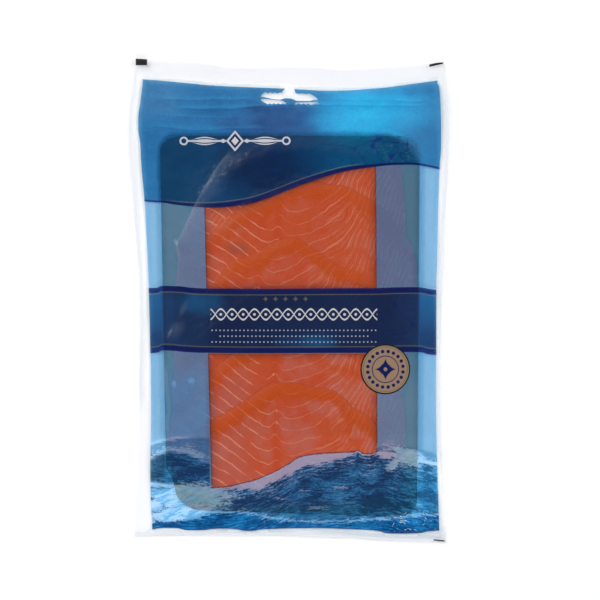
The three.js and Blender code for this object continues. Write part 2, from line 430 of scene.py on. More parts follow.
def ridge(grid_x, grid_y, start, end, height, width):
    """A narrow crease that rises and dies away between two places."""
    run = np.subtract(end, start)
    length = math.hypot(*run)
    along = ((grid_x - start[0]) * run[0] + (grid_y - start[1]) * run[1]) / length
    off = ((grid_y - start[1]) * run[0] - (grid_x - start[0]) * run[1]) / length
    taper = np.clip(np.minimum(along, length - along) / (CREASE_END * length), 0, 1)
    return height * smoothstep(taper, 0, 1) * np.exp(-((off / width) ** 2))


# The share of a crease's length over which it rises, and over which it dies away.
CREASE_END = 0.35
# Creases in the front film: (start, end, height, width).
CREASES = (
    ((46, 90), (55, 76), 0.3, 1.6),
    ((54, 88), (63, 78), 0.35, 1.5),
    ((61, 86), (70, 76), 0.3, 1.5),
    ((-68, -2), (-58, -18), 0.2, 3.2),
    ((-57, -12), (-70, -24), 0.2, 2.6),
    ((66, -3), (60, -22), 0.2, 2.4),
    ((-58, -44), (-54, -60), 0.2, 1.8),
    ((-70, -40), (-66, -62), 0.2, 1.8),
    ((-66, 106), (0, 105), 0.35, 2.4),
    ((-20, 106), (78, 107), 0.35, 2.4),
    ((-78, 111), (-20, 110), 0.25, 2.0),
    ((-80, 96), (-8, 95), 0.25, 2.2),
    ((30, 118), (29, 108), 0.3, 1.5),
    ((64, 103), (80, 92), 0.35, 1.8),
    ((-80, 92), (-70, 74), 0.3, 1.8),
    ((77, 88), (80, 62), 0.3, 1.8),
)
# Patches of small creases: (middle, reach, count, length).
CRINKLES = (
    ((72, -121), (8, 4), 22, 6),
    ((-62, -121), (10, 2.5), 8, 6),
    ((0, -121), (26, 2), 6, 5),
    ((57, 82), (8, 4), 6, 6),
    ((78, 62), (3, 14), 5, 6),
    ((-76, 104), (4, 10), 6, 7),
)
# Their scatter over a patch, and the least and most of their share of its length, height and width.
CRINKLE_SCATTER = 0.6
CRINKLE_SHARE = (0.5, 1.2)
CRINKLE_HEIGHT = (0.15, 0.4)
CRINKLE_WIDTH = (0.5, 0.8)


def creases(grid_x, grid_y):
    """Height that the creases and the patches of small ones add to the front film."""
    raised = sum(ridge(grid_x, grid_y, *crease) for crease in CREASES)
    draw = random.Random(7)
    for middle, reaches, count, length in CRINKLES:
        for _ in range(count):
            start = np.array(middle) + [draw.gauss(0, CRINKLE_SCATTER) * reach for reach in reaches]
            angle = draw.uniform(0, math.pi)
            run = length * draw.uniform(*CRINKLE_SHARE)
            end = start + run * np.array([math.cos(angle), math.sin(angle)])
            height, width = draw.uniform(*CRINKLE_HEIGHT), draw.uniform(*CRINKLE_WIDTH)
            raised = raised + ridge(grid_x, grid_y, start, end, height, width)
    return raised


def sampled(height, xs, ys, x, y):
    """The grid's height at places on the pack, between its points too."""
    across = np.clip((x - xs[0]) / RELIEF_STEP, 0, len(xs) - 1.001)
    along = np.clip((y - ys[0]) / RELIEF_STEP, 0, len(ys) - 1.001)
    column, row = across.astype(int), along.astype(int)
    u, v = across - column, along - row
    low = height[row, column] * (1 - u) + height[row, column + 1] * u
    high = height[row + 1, column] * (1 - u) + height[row + 1, column + 1] * u
    return low * (1 - v) + high * v


def toothed(start, end):
    """A line of small teeth between two places."""
    steps = round(math.dist(start, end) / SLOT_TOOTH)
    bite = -SLOT_BITE if start[1] > 0 else SLOT_BITE
    run, rise = end[0] - start[0], end[1] - start[1]
    return [
        (start[0] + run * i / steps, start[1] + rise * i / steps + bite * (i % 2))
        for i in range(1, steps)
    ]


def slot_cutter():
    """The slot's openings as upright prisms, taller than the film."""
    cutter = bmesh.new()
    middle_x, middle_y = SLOT_CENTRE
    for first, second, *others in SLOT_OPENINGS:
        outline = [first, *toothed(first, second), second, *others]
        verts = [cutter.verts.new((x + middle_x, y + middle_y, -SLOT_CUT)) for x, y in outline]
        pushed = bmesh.ops.extrude_face_region(cutter, geom=[cutter.faces.new(verts)])
        raised = [part for part in pushed["geom"] if isinstance(part, bmesh.types.BMVert)]
        bmesh.ops.translate(cutter, verts=raised, vec=(0, 0, 2 * SLOT_CUT))
    bmesh.ops.recalc_face_normals(cutter, faces=cutter.faces[:])
    return new_piece("slot_cutter", cutter)


def flat_pouch():
    """Both films as one closed flat shell with the pack's outline, its slot cut through."""
    body = bmesh.new()
    cells = round(NOMINAL_WIDTH / FILM_CELL), round(NOMINAL_LENGTH / FILM_CELL)
    bmesh.ops.create_grid(body, x_segments=cells[0], y_segments=cells[1], size=1)
    bmesh.ops.solidify(body, geom=body.faces[:], thickness=1)
    pouch = new_piece("film_pouch", body)
    flat = vertex_places(pouch.data)
    nominal_x = flat[:, 0] * NOMINAL_WIDTH / 2
    along, across = (flat[:, 1] + 1) / 2, (flat[:, 0] + 1) / 2
    foot, header = along_knots(FOOT_EDGE, nominal_x), along_knots(HEADER_EDGE, nominal_x)
    y = foot + (header - foot) * along
    left, right = along_knots(LEFT_EDGE, y), along_knots(RIGHT_EDGE, y)
    x = left + (right - left) * across
    set_vertex_places(pouch.data, np.column_stack([x, y, flat[:, 2]]))
    cutter = slot_cutter()
    cut = pouch.modifiers.new("slot", "BOOLEAN")
    cut.operation, cut.solver, cut.object = "DIFFERENCE", "MANIFOLD", cutter
    depsgraph = bpy.context.evaluated_depsgraph_get()
    whole = bpy.data.meshes.new_from_object(pouch.evaluated_get(depsgraph))
    pouch.modifiers.clear()
    pouch.data = whole
    bpy.data.objects.remove(cutter)
    return pouch


def film_pouch(contents):
    """The pouch's films: the front one draped over the contents, the back one nearly flat."""
    pouch = flat_pouch()
    xs, ys, grid_x, grid_y = relief_grid()
    lift = film_lift(grid_x, grid_y) + TABLE_GAP
    support = np.maximum(contents_height(contents, grid_x, grid_y), lift)
    front = draped(support, DRAPE_PASSES) + FILM_GAP + creases(grid_x, grid_y)
    flat = vertex_places(pouch.data)
    x, y, upper = flat[:, 0], flat[:, 1], flat[:, 2] > -0.5
    z = np.where(upper, sampled(front, xs, ys, x, y), sampled(lift, xs, ys, x, y))
    set_vertex_places(pouch.data, np.column_stack([x, y, z]))
    border = np.minimum.reduce([
        x - along_knots(LEFT_EDGE, y), along_knots(RIGHT_EDGE, y) - x,
        y - along_knots(FOOT_EDGE, x), along_knots(HEADER_EDGE, x) - y,
    ])
    write_rim(pouch.data, border)
    shade_smooth(pouch)
    return pouch


# ------------------------------------------------------------ material fields
# The power that gives a star hollow sides.
STAR_POWER = 0.6667


class Field:
    """A number over a surface: a node's output that takes arithmetic."""

    def __init__(self, tree, socket):
        self.tree = tree
        self.socket = socket

    def calc(self, operation, *others):
        node = self.tree.nodes.new("ShaderNodeMath")
        node.operation = operation
        for place, value in zip(node.inputs, (self, *others)):
            feed(self.tree, value, place)
        return Field(self.tree, node.outputs[0])

    def __add__(self, other):
        return self.calc("ADD", other)

    def __radd__(self, other):
        return self.calc("ADD", other)

    def __sub__(self, other):
        return self.calc("SUBTRACT", other)

    def __rsub__(self, other):
        return (self * -1).calc("ADD", other)

    def __mul__(self, other):
        return self.calc("MULTIPLY", other)

    def __rmul__(self, other):
        return self.calc("MULTIPLY", other)

    def __truediv__(self, other):
        return self.calc("DIVIDE", other)

    def __abs__(self):
        return self.calc("ABSOLUTE")

    def least(self, other):
        return self.calc("MINIMUM", other)

    def most(self, other):
        return self.calc("MAXIMUM", other)

    def power(self, other):
        return self.calc("POWER", other)


def feed(tree, value, place):
    """Puts a field, a socket or a plain value into a node's input."""
    if isinstance(value, Field):
        tree.links.new(value.socket, place)
    elif isinstance(value, bpy.types.NodeSocket):
        tree.links.new(value, place)
    else:
        place.default_value = value


def step_up(field, low, high, kind="SMOOTHSTEP"):
    """0 at low, 1 at high, and a slope between them. low may be above high."""
    node = field.tree.nodes.new("ShaderNodeMapRange")
    node.interpolation_type = kind
    feed(field.tree, field, node.inputs["Value"])
    feed(field.tree, low, node.inputs["From Min"])
    feed(field.tree, high, node.inputs["From Max"])
    return Field(field.tree, node.outputs["Result"])


def inside(distance, soft=0.12):
    """A crisp mask: 1 where the distance is positive."""
    return step_up(distance, -soft, soft, "LINEAR")


def sharp(distance):
    return inside(distance, 0.08)


def hypotenuse(across, up):
    return (across.power(2) + up.power(2)).calc("SQRT")


def off_row(place, pitch):
    """Distance from the nearest middle of a row of cells, the first from 0 to one pitch."""
    return abs((place / pitch).calc("FRACT") - 0.5) * pitch


def astroid(across, up):
    """The same all along the outline of a star with four points."""
    return abs(across).power(STAR_POWER) + abs(up).power(STAR_POWER)


def on_curve(field, knots):
    """The smooth curve through the knots, read at a field."""
    at, value = zip(*knots)
    low, high = min(value) - 1, max(value) + 1
    place = step_up(field, at[0], at[-1], "LINEAR")
    node = field.tree.nodes.new("ShaderNodeFloatCurve")
    points = node.mapping.curves[0].points
    while len(points) < len(knots):
        points.new(0.5, 0.5)
    for point, (x, y) in zip(points, knots):
        point.location = ((x - at[0]) / (at[-1] - at[0]), (y - low) / (high - low))
    node.mapping.update()
    feed(field.tree, place, node.inputs["Value"])
    return Field(field.tree, node.outputs[0]) * (high - low) + low


def noise(tree, place, scale, detail=2.0, rough=0.5, stretch=(1, 1, 1), turn=0.0):
    """Noise from 0 to 1 over a place in millimetres."""
    mapping = tree.nodes.new("ShaderNodeMapping")
    mapping.vector_type = "TEXTURE"
    mapping.inputs["Rotation"].default_value[2] = turn
    mapping.inputs["Scale"].default_value = [1 / (factor * scale) for factor in stretch]
    feed(tree, place, mapping.inputs["Vector"])
    node = tree.nodes.new("ShaderNodeTexNoise")
    dial(node, {"Scale": 1.0, "Detail": detail, "Roughness": rough})
    tree.links.new(mapping.outputs["Vector"], node.inputs["Vector"])
    return Field(tree, node.outputs["Fac"])


def blended(tree, mask, under, over, kind="MIX"):
    """A colour laid over another where the mask is 1."""
    node = tree.nodes.new("ShaderNodeMix")
    node.data_type = "RGBA"
    node.blend_type = kind
    node.clamp_factor = True
    # A Mix node has sockets for every kind of value: these are its factor's and its colours'.
    factor, first, second, result = node.inputs[0], node.inputs[6], node.inputs[7], node.outputs[2]
    feed(tree, mask, factor)
    for value, place in ((under, first), (over, second)):
        feed(tree, (*value, 1.0) if isinstance(value, tuple) else value, place)
    return result


def place_in_mm(tree, source, scale):
    """(vector, x, y) of a coordinate output, scaled to millimetres."""
    node = tree.nodes.new("ShaderNodeVectorMath")
    node.operation = "SCALE"
    node.inputs["Scale"].default_value = scale
    tree.links.new(source, node.inputs[0])
    split = tree.nodes.new("ShaderNodeSeparateXYZ")
    tree.links.new(node.outputs["Vector"], split.inputs["Vector"])
    return node.outputs["Vector"], Field(tree, split.outputs["X"]), Field(tree, split.outputs["Y"])


def place_on_pack(tree):
    """(vector, x, y) of a place on the pack, in millimetres."""
    coordinates = tree.nodes.new("ShaderNodeTexCoord")
    return place_in_mm(tree, coordinates.outputs["Object"], 1 / MM)


def read_rim(tree):
    """Distance from a piece's rim, as write_rim keeps it."""
    node = tree.nodes.new("ShaderNodeAttribute")
    node.attribute_name = "rim"
    return Field(tree, node.outputs["Fac"])


def dial(node, values):
    """Sets a node's own sockets, by their names."""
    for name, value in values.items():
        node.inputs[name].default_value = value


def new_material(name):
    """(material, its tree, its output, its Principled shader)"""
    material = bpy.data.materials.new(name)
    material.use_nodes = True
    tree = material.node_tree
    tree.nodes.clear()
    output = tree.nodes.new("ShaderNodeOutputMaterial")
    shader = tree.nodes.new("ShaderNodeBsdfPrincipled")
    tree.links.new(shader.outputs[0], output.inputs["Surface"])
    return material, tree, output, shader


def bumped(tree, height, distance, strength):
    """A normal for a relief, whose full height is a distance in metres."""
    node = tree.nodes.new("ShaderNodeBump")
    dial(node, {"Strength": strength, "Distance": distance})
    feed(tree, height, node.inputs["Height"])
    return node.outputs["Normal"]


# ------------------------------------------------------------ salmon's finish
# How the fat lines run on a slice: (distance from the seam, how far down they reach).
FAT_LINE_RUN = (
    (-72, -36), (-64, -32), (-53, -26.6), (-41.6, -20.9), (-28.8, -13.9), (-19.4, -6.7),
    (-12.2, -1.2), (-7.5, 1.4), (-4.2, 2.2), (0, 0), (4.4, 4), (8.3, 5.2), (12.2, 4.8), (19.4, 2.2),
    (27.7, -2.3), (33.3, -5.9), (38.8, -11.5), (44.4, -21.5), (52.7, -42), (61, -63), (72, -90),
)
FAT_LINE_PITCH = 6.9
FLESH = (0.485, 0.07, 0.02)
FLESH_PALE = (0.465, 0.103, 0.068)
FLESH_DEEP = (0.48, 0.053, 0.01)
FLESH_MILKY = (0.4, 0.112, 0.1)
FLESH_DARK = (0.36, 0.045, 0.014)
BRUISE = (0.27, 0.07, 0.05)
SMOKED_RIM = (0.46, 0.06, 0.004)
FAT = (0.66, 0.25, 0.14)
MOIST_FLESH = {
    "Roughness": 0.4,
    "Specular IOR Level": 0.12,
    "Subsurface Weight": 0.12,
    "Subsurface Radius": (0.004, 0.0012, 0.0006),
    "Subsurface Scale": 0.5,
}
FLESH_RELIEF = 0.0004


def salmon_finish():
    """Moist flesh: fat lines that dip to a seam, a deep smoked rim, and pale and dark patches."""
    material, tree, _, shader = new_material("smoked_salmon")
    uv = tree.nodes.new("ShaderNodeUVMap")
    uv.uv_map = "slice"
    _, across, down = place_in_mm(tree, uv.outputs["UV"], PATTERN_UNIT)
    spot, spot_x, spot_y = place_on_pack(tree)
    sway = noise(tree, spot, 0.045, 2) - 0.5
    wobble = noise(tree, spot, 0.15, 3, 0.55) - 0.5

    # The fat lines, wider at the left and where they fall steeply, and faint under the print.
    lines = down - on_curve(across + sway * 9, FAT_LINE_RUN) + wobble * 2.8 + sway * 4
    gap = FAT_LINE_PITCH / 2 - off_row(lines, FAT_LINE_PITCH)
    left, steep = step_up(across, 4, -16), step_up(across, 20, 42)
    uneven = noise(tree, spot, 0.1, 3)
    width = left * 0.24 + steep * 0.5 + uneven * 0.4 - 0.1
    shown = step_up(spot_x, -48, -44) * step_up(spot_y - spot_x * 0.25, 66, 61) * 0.7 + 0.3
    broken = step_up(uneven + sway * 0.4, 0.3, 0.52)
    strength = (left * 0.35 - steep * 0.2 + 0.6) * broken * shown
    line = step_up(gap - width, steep * 0.4 + 0.34, -0.16) * strength
    fibres = abs((lines / FAT_LINE_PITCH * 2.3 + wobble * 1.2).calc("FRACT") - 0.5)
    fibre = step_up(fibres, 0.26, 0.06) * step_up(across, 18, 36) * step_up(uneven, 0.3, 0.5)
    seam_spot = step_up(gap + abs(across) * 1.5, 1.45, 0.7) * step_up(uneven, 0.5, 0.58)

    # The patches: a ragged smoked rim, pale flesh, and deep flesh along the seam.
    ragged = (noise(tree, spot, 0.2, 4, 0.6) - 0.5) * 11 + sway * 8
    rim = step_up(read_rim(tree) + ragged, 11.5, 6)
    pale = step_up(noise(tree, spot, 0.05, 4, 0.6), 0.42, 0.62)
    at_seam = step_up(abs(across + sway * 6) + wobble * 6, 4, 0.5)
    deep = at_seam.most(step_up(noise(tree, spot, 0.06, 3), 0.52, 0.68))
    bruise = ((spot_x + 28).power(2) / 90 + (spot_y - 28).power(2) / 26).calc("SQRT") + wobble * 2
    grain = noise(tree, spot, 0.8, 5, 0.65, (1, 2.0, 1))
    milky = step_up(spot_x + wobble * 12, -12, -32) * step_up(spot_y, -36, -46)
    colour = FLESH
    for mask, laid in (
        (pale * (step_up(spot_y, 60, -50) * 0.6 + 0.4), FLESH_PALE),
        (deep * 0.7, FLESH_DEEP),
        (milky * 0.45, FLESH_MILKY),
        (step_up(bruise, 1.2, 0.2) * 0.6, BRUISE),
        (rim, SMOKED_RIM),
        ((line * (1 - rim * 0.75)).most(seam_spot * 0.9) * 0.8, FAT),
        (fibre * (1 - rim * 0.6) * 0.18, FAT),
        (step_up(grain, 0.3, 0.8) * 0.22, FLESH_DARK),
    ):
        colour = blended(tree, mask, colour, laid)
    tree.links.new(colour, shader.inputs["Base Color"])
    relief = line * 0.5 + grain * 0.35 + wobble * 0.8
    tree.links.new(bumped(tree, relief, FLESH_RELIEF, 0.5), shader.inputs["Normal"])
    dial(shader, MOIST_FLESH)
    return material


GOLD_LIGHT, GOLD_DARK = (0.34, 0.15, 0.01), (0.3, 0.135, 0.008)
CARD_LIGHT, CARD_DARK = (0.7, 0.68, 0.64), (0.58, 0.56, 0.52)
CARD_RELIEF = 0.0001


def board_finish():
    """Gold coating above, bare pale board below and at the cut edge."""
    material, tree, _, shader = new_material("gold_board")
    geometry = tree.nodes.new("ShaderNodeNewGeometry")
    place, _, _ = place_on_pack(tree)
    split = tree.nodes.new("ShaderNodeSeparateXYZ")
    tree.links.new(geometry.outputs["Normal"], split.inputs["Vector"])
    coated = step_up(Field(tree, split.outputs["Z"]), 0.5, 0.8)
    fibre = noise(tree, place, 0.9, 4, 0.6, (1, 3, 1))
    cloud = noise(tree, place, 0.03, 2)
    gold = blended(tree, cloud, GOLD_DARK, GOLD_LIGHT)
    pale = blended(tree, fibre, CARD_DARK, CARD_LIGHT)
    colour = blended(tree, coated, pale, gold)
    tree.links.new(colour, shader.inputs["Base Color"])
    feed(tree, coated * 0.1, shader.inputs["Metallic"])
    tree.links.new(bumped(tree, fibre, CARD_RELIEF, 0.3), shader.inputs["Normal"])
    dial(shader, {"Roughness": 0.45})
    return material


# ------------------------------------------------------------------ film inks
FILM_SHINE = 0.026
SEAL_SHINE = 0.008
FILM_RELIEF = 0.0005
# How far up a face of the film looks at least, to be one of the printed front.
FACES_FRONT = 0.02


class Ink:
    """What a printed film lets through, and what it sends back itself."""

    def __init__(self, through, body):
        self.cover = min(max(body) / 0.8 + 0.01, 1 - max(through))
        self.through = tuple(value / (1 - self.cover) for value in through)
        self.body = tuple(value / self.cover for value in body)


CLEAR = Ink((0.985, 0.987, 0.99), (0.004, 0.004, 0.0045))
BARE = Ink((0.994, 0.995, 0.997), (0.002, 0.002, 0.002))
SKY = Ink((0.08, 0.23, 0.3), (0.019, 0.108, 0.27))
SKY_GLOW = Ink((0.08, 0.3, 0.4), (0.026, 0.35, 0.565))
SKY_PALE = Ink((0.1, 0.25, 0.3), (0.06, 0.16, 0.32))
SKY_DEEP = Ink((0.08, 0.2, 0.27), (0.02, 0.078, 0.23))
COLUMN = Ink((0.445, 0.588, 0.672), (0.01, 0.1, 0.208))
COLUMN_PALE = Ink((0.49, 0.61, 0.69), (0.01, 0.096, 0.188))
NAVY = Ink((0.08, 0.11, 0.22), (0.002, 0.009, 0.072))
BAND = Ink((0.08, 0.2, 0.25), (0.016, 0.045, 0.15))
SEA = Ink((0.14, 0.37, 0.47), (0.005, 0.054, 0.156))
SEA_DARK = Ink((0.1, 0.26, 0.36), (0.003, 0.024, 0.085))
SEA_BRIGHT = Ink((0.18, 0.46, 0.58), (0.012, 0.11, 0.26))
SEA_NEAR = Ink((0.02, 0.12, 0.21), (0.004, 0.07, 0.205))
SEA_STREAK = Ink((0.06, 0.28, 0.42), (0.01, 0.16, 0.34))
FOAM = Ink((0.62, 0.74, 0.8), (0.11, 0.19, 0.32))
BEIGE = Ink((0.2, 0.2, 0.2), (0.245, 0.168, 0.107))
GOLD_LINE = Ink((0.2, 0.25, 0.22), (0.075, 0.075, 0.055))
HAZE = Ink((0.87, 0.873, 0.88), (0.09, 0.094, 0.1))
# White laid as painted light on the seal: beside the print, and as highlights along the foot.
PAINTED_LIGHT = Ink((0.86, 0.862, 0.865), (0.19, 0.19, 0.19))
FILM_EDGE = Ink((0.83, 0.838, 0.855), (0.085, 0.09, 0.098))
FOOT_HAZE = Ink((0.72, 0.76, 0.78), (0.06, 0.07, 0.08))
SILVER = Ink((0.05, 0.05, 0.05), (0.5, 0.5, 0.53))
INK_BLACK = Ink((0.03, 0.03, 0.03), (0.006, 0.006, 0.007))
OUTLINE = Ink((0.35, 0.25, 0.25), (0.004, 0.004, 0.01))
PALE_VEIL = (0.55, 0.7, 0.85)
BLUE_VEIL = (0.02, 0.42, 0.98)
GAP_VEIL = (0.25, 0.62, 1.0)
WARM_VEIL = (0.8, 0.7, 0.62)
# Warm tint for foam over the board, and also the colour of the band's painted sheen.
WARM_FOAM_AND_SHEEN = (0.6, 0.7, 0.68)
GLINT = (0.95, 0.97, 1.0)
FOAM_OVER_SLICES = (0.62, 0.9, 1.0)

# The printed field's four edges, and the curves in it.
FIELD_LEFT = (
    (-130, -75.4), (-124, -75.5), (-113, -76.2), (-91, -76.5), (-68, -76.2), (-46, -76.3),
    (-24, -76.6), (-2, -77.1), (20, -78), (42, -79.1), (54, -79.7), (76, -81.5), (87, -82.1),
    (98, -83.2), (109, -82.1), (120, -80.7),
)
FIELD_RIGHT = (
    (-130, 83.6), (-124, 83.3), (-113, 83), (-102, 82.6), (-79, 82.1), (-57, 81.6), (-24, 81.8),
    (9, 81.8), (20, 82.2), (42, 82.7), (65, 83.4), (76, 83.8), (87, 84.4), (98, 84.3), (109, 84),
    (120, 82.4),
)
FIELD_TOP = (
    (-84, 122.5), (-70, 121.7), (-61, 120.8), (-52, 120), (-44, 119.2), (-35, 118.7), (-17, 117.9),
    (-8, 117.6), (10, 116.7), (19, 116.2), (27, 116.2), (36, 116.5), (45, 117.2), (54, 117.9),
    (63, 119.1), (72, 120.3), (84, 122),
)
FIELD_FOOT = (
    (-80, -127.2), (-76, -126.9), (-69, -125.9), (-62, -126), (-56, -127.1), (-49, -127.1),
    (-42, -126.4), (-36, -126.2), (-29, -126.5), (-22, -127.5), (-16, -126.8), (-9, -126.4),
    (4, -126), (17, -125.9), (31, -126.4), (44, -127), (51, -127.8), (57, -128.9), (71, -128.7),
    (77, -127.7), (84, -127.2),
)
SKY_STRIPE = (
    (-81, 55.5), (-76.8, 55.2), (-69.1, 54.7), (-61.3, 53.6), (-53.5, 52.9), (-45.8, 52.5),
    (-38, 52.7), (-30.2, 53.5), (-22.5, 54.7), (-14.7, 56.9), (-7, 59.7), (0.8, 62.8), (8.6, 65.8),
    (16.3, 68.3), (24.1, 70.7), (31.9, 72.6), (39.6, 73.8), (47.4, 74.7), (55.2, 75.5),
    (62.9, 75.8), (70.7, 75.7), (78.5, 74.4), (85, 72.9),
)
STRIPE_HALF = (
    (-81, 0.5), (-60, 0.65), (-45, 1.05), (-25, 1.3), (0, 1.35), (20, 1.15), (35, 1.0), (50, 0.75),
    (65, 0.6), (85, 0.6),
)
SKY_GOLD_GAP = 0.65
GOLD_LINE_HALF = 0.2
BAND_TOP = (
    (-78, 6.9), (-72.8, 7.1), (-71.3, 7.8), (-68.7, 8.1), (-62.6, 8), (-53.7, 7.1), (-45.8, 6.7),
    (34, 6.8), (48.5, 6.9), (60, 7.3), (70, 7.4), (73.6, 7.2), (78.3, 6.3), (83, 5.8),
)
BAND_FOOT = (
    (-78, -29.3), (-71.8, -28.6), (-69, -27.5), (-65.5, -27.6), (-56.9, -28.3), (-44, -28.8),
    (34, -28.8), (42.2, -28.8), (65.5, -28.4), (72.4, -28.5), (76.6, -29.5), (82, -30.1),
)
BAND_RULE = 2.7
BAND_GOLD_DEPTH = 3.4
# Brighter places in the band: (middle, reach, strength).
BAND_GLOWS = (((-51, -0.5), (19, 9.5), 0.085), ((15, -23), (20, 8), 0.1))
# Painted sheen where the film is drawn over the slices' side: (middle, reach, turn).
BAND_SHEEN = (((-58.5, -5), (8.5, 2.6), 1.15), ((-61, -15), (7.5, 5), 0.9))
WINDOW_LEFT = ((-110, -41.9), (60, -46.4))
WINDOW_RIGHT = ((-110, 48.9), (84, 48.0))
WINDOW_FOOT, WINDOW_HEAD = -112, 80
WINDOW_SHADE_REACH = 6.5
OUTLINE_WIDTH = 0.35
CREST = (
    (-80, -100), (-62, -102), (-42.4, -103.3), (-24.7, -100.6), (-10.3, -95.6), (0.3, -90),
    (8.6, -85.6), (19.7, -84.2), (34, -83.5), (36.2, -83.3), (38.3, -82.7), (40.6, -84.1),
    (45, -84.6), (50, -83.3), (64, -86), (84, -90),
)
FAR_SWELL = (
    (-80, -80.5), (-76, -79.4), (-68, -76.8), (-60, -75.7), (-44, -75), (46, -80), (66, -80.5),
    (84, -91),
)
BACK_SWELL = (
    (-80, -88), (-76, -87), (-71, -84.4), (-65.7, -82.8), (-57, -83.4), (-51, -86), (-43, -88),
    (46, -83), (58, -82.5), (70, -88), (84, -92),
)
FOAM_DEPTH = (
    (-80, 2), (-60, 3), (-44, 2.5), (-34, 2.5), (-22, 4), (-12, 6), (0, 6.4), (10, 6.4), (20, 5),
    (30, 3.2), (40, 1.3), (46, 1.8), (52, 3), (60, 4), (70, 2.5), (84, 2),
)
FRONT_SWELL = (
    (-80, -123), (-60, -121), (-44, -118.5), (-31, -117), (-14, -119.6), (1, -121.6), (17, -122.5),
    (37, -122), (58, -121), (70, -119.6), (84, -118.6),
)
FOAM_PATCHES = (
    ((-54, -108.5), (25, 7.6), -0.04), ((-63, -118.5), (18, 4.6), 0.1),
    ((66.5, -86.5), (10, 4.8), -0.2), ((57.5, -91), (6, 2.4), 0.8), ((-76, -113.5), (9, 4.5), 0.0),
)
FOAM_FLECKS = (
    ((29, -103.3), (6, 1.1), 0.05), ((-3.6, -109.4), (5, 0.9), -0.06),
    ((15, -114.4), (6.5, 1.2), 0.05), ((9, -105), (4, 0.7), 0.0), ((-61, -82.4), (9, 1.7), -0.05),
    ((-49.5, -85.4), (6, 1.8), -0.2),
)
SKY_GLOWS = (
    ((42, 105), (34, 18), 1.0), ((66, 104), (20, 16), 0.6), ((42, 80), (52, 20), 0.3),
    ((38, 97), (26, 8), 0.55),
)
# Creases across the header: (height, from, to, strength).
HEADER_CREASES = (
    (107.4, -66, 80, 0.5), (111.6, -80, -14, 0.3), (110.4, 18, 84, 0.35), (102.6, -74, -30, 0.25),
    (95.6, -82, -6, 0.3),
)
# Where the film touches what is under the sky in fine loops: (oval's middle and reach, strength).
FILM_CONTACTS = ((((50, 82), (25, 11)), 0.6), (((5, 76), (22, 10)), 0.3))
# Small places where the film stands off the slices, given a painted reflection: (middle, reach).
FILM_GAPS = (((-53.5, -44), (2.4, 1.8)), ((-63.4, -46), (1.6, 2.2)))
# Where the film leaves the first slice: (along the pack, place across it).
STRETCHED_EDGE = (
    (24, -62.6), (32, -63.2), (34.2, -62.2), (43, -58), (52, -53.8), (62.4, -48), (73.5, -41.3),
    (82, -34.5),
)
# Painted glints where a crease in the film starts: (middle, reach, turn, strength).
GLINT_SPOTS = (
    ((-62.3, 32.4), (1.5, 2.4), 0.5, 0.12), ((-61, 27), (0.9, 6.5), 0.22, 0.08),
    ((-61, 15), (0.7, 9), 0.02, 0.03),
)
# Fine strands of painted sheen at the window's upper left corner.
HATCH_PLACE = (-39, 45)
HATCH_TURN = math.radians(54)
HATCH_PITCH = 2.6
# The sea reaches up to here at most.
SEA_REACH = -74
REGISTER_MARKS = (
    (-84.5, -78.2, 130.2, 134, 0.0), (78, 85.6, 112.2, 113.6, 0.22),
    (80.4, 86.4, -124.85, -124.1, -0.1),
)
# The divider's middle, how far from it its beads and rings are, its leaves as (start, length,
# half width), and its diamonds from the outer one in.
DIVIDER_PLACE = (-29.6, 88.4)
DIVIDER_BEAD = 6.6
DIVIDER_RING = 28.4
DIVIDER_LEAF = (8, 17.5, 2.3)
DIVIDER_DIAMONDS = (5.0, 3.6, 2.1)

BRAID_PLACE = (3.0, -7.6)
BRAID_HALF = 46
BRAID_WAVE = 12.4
BRAID_SWING = 2.9
# The dotted rules under the braid, as (height, half length), and the row of stars over it.
DOTTED_RULES = ((-16.4, 46), (-19.6, 42), (-22.8, 46))
DOT_PITCH = 2.2
STAR_ROW_PLACE = (-1.6, 0.9)
STAR_ROW_HALF = 13.8
STAR_PITCH = 5.5

ROUNDEL = (53.5, -37.9)
ROUNDEL_RADIUS = 13.8
ROUNDEL_DOTS = 20
ROUNDEL_DOT_RING = 9.9
ROUNDEL_INNER_RING = 7.3


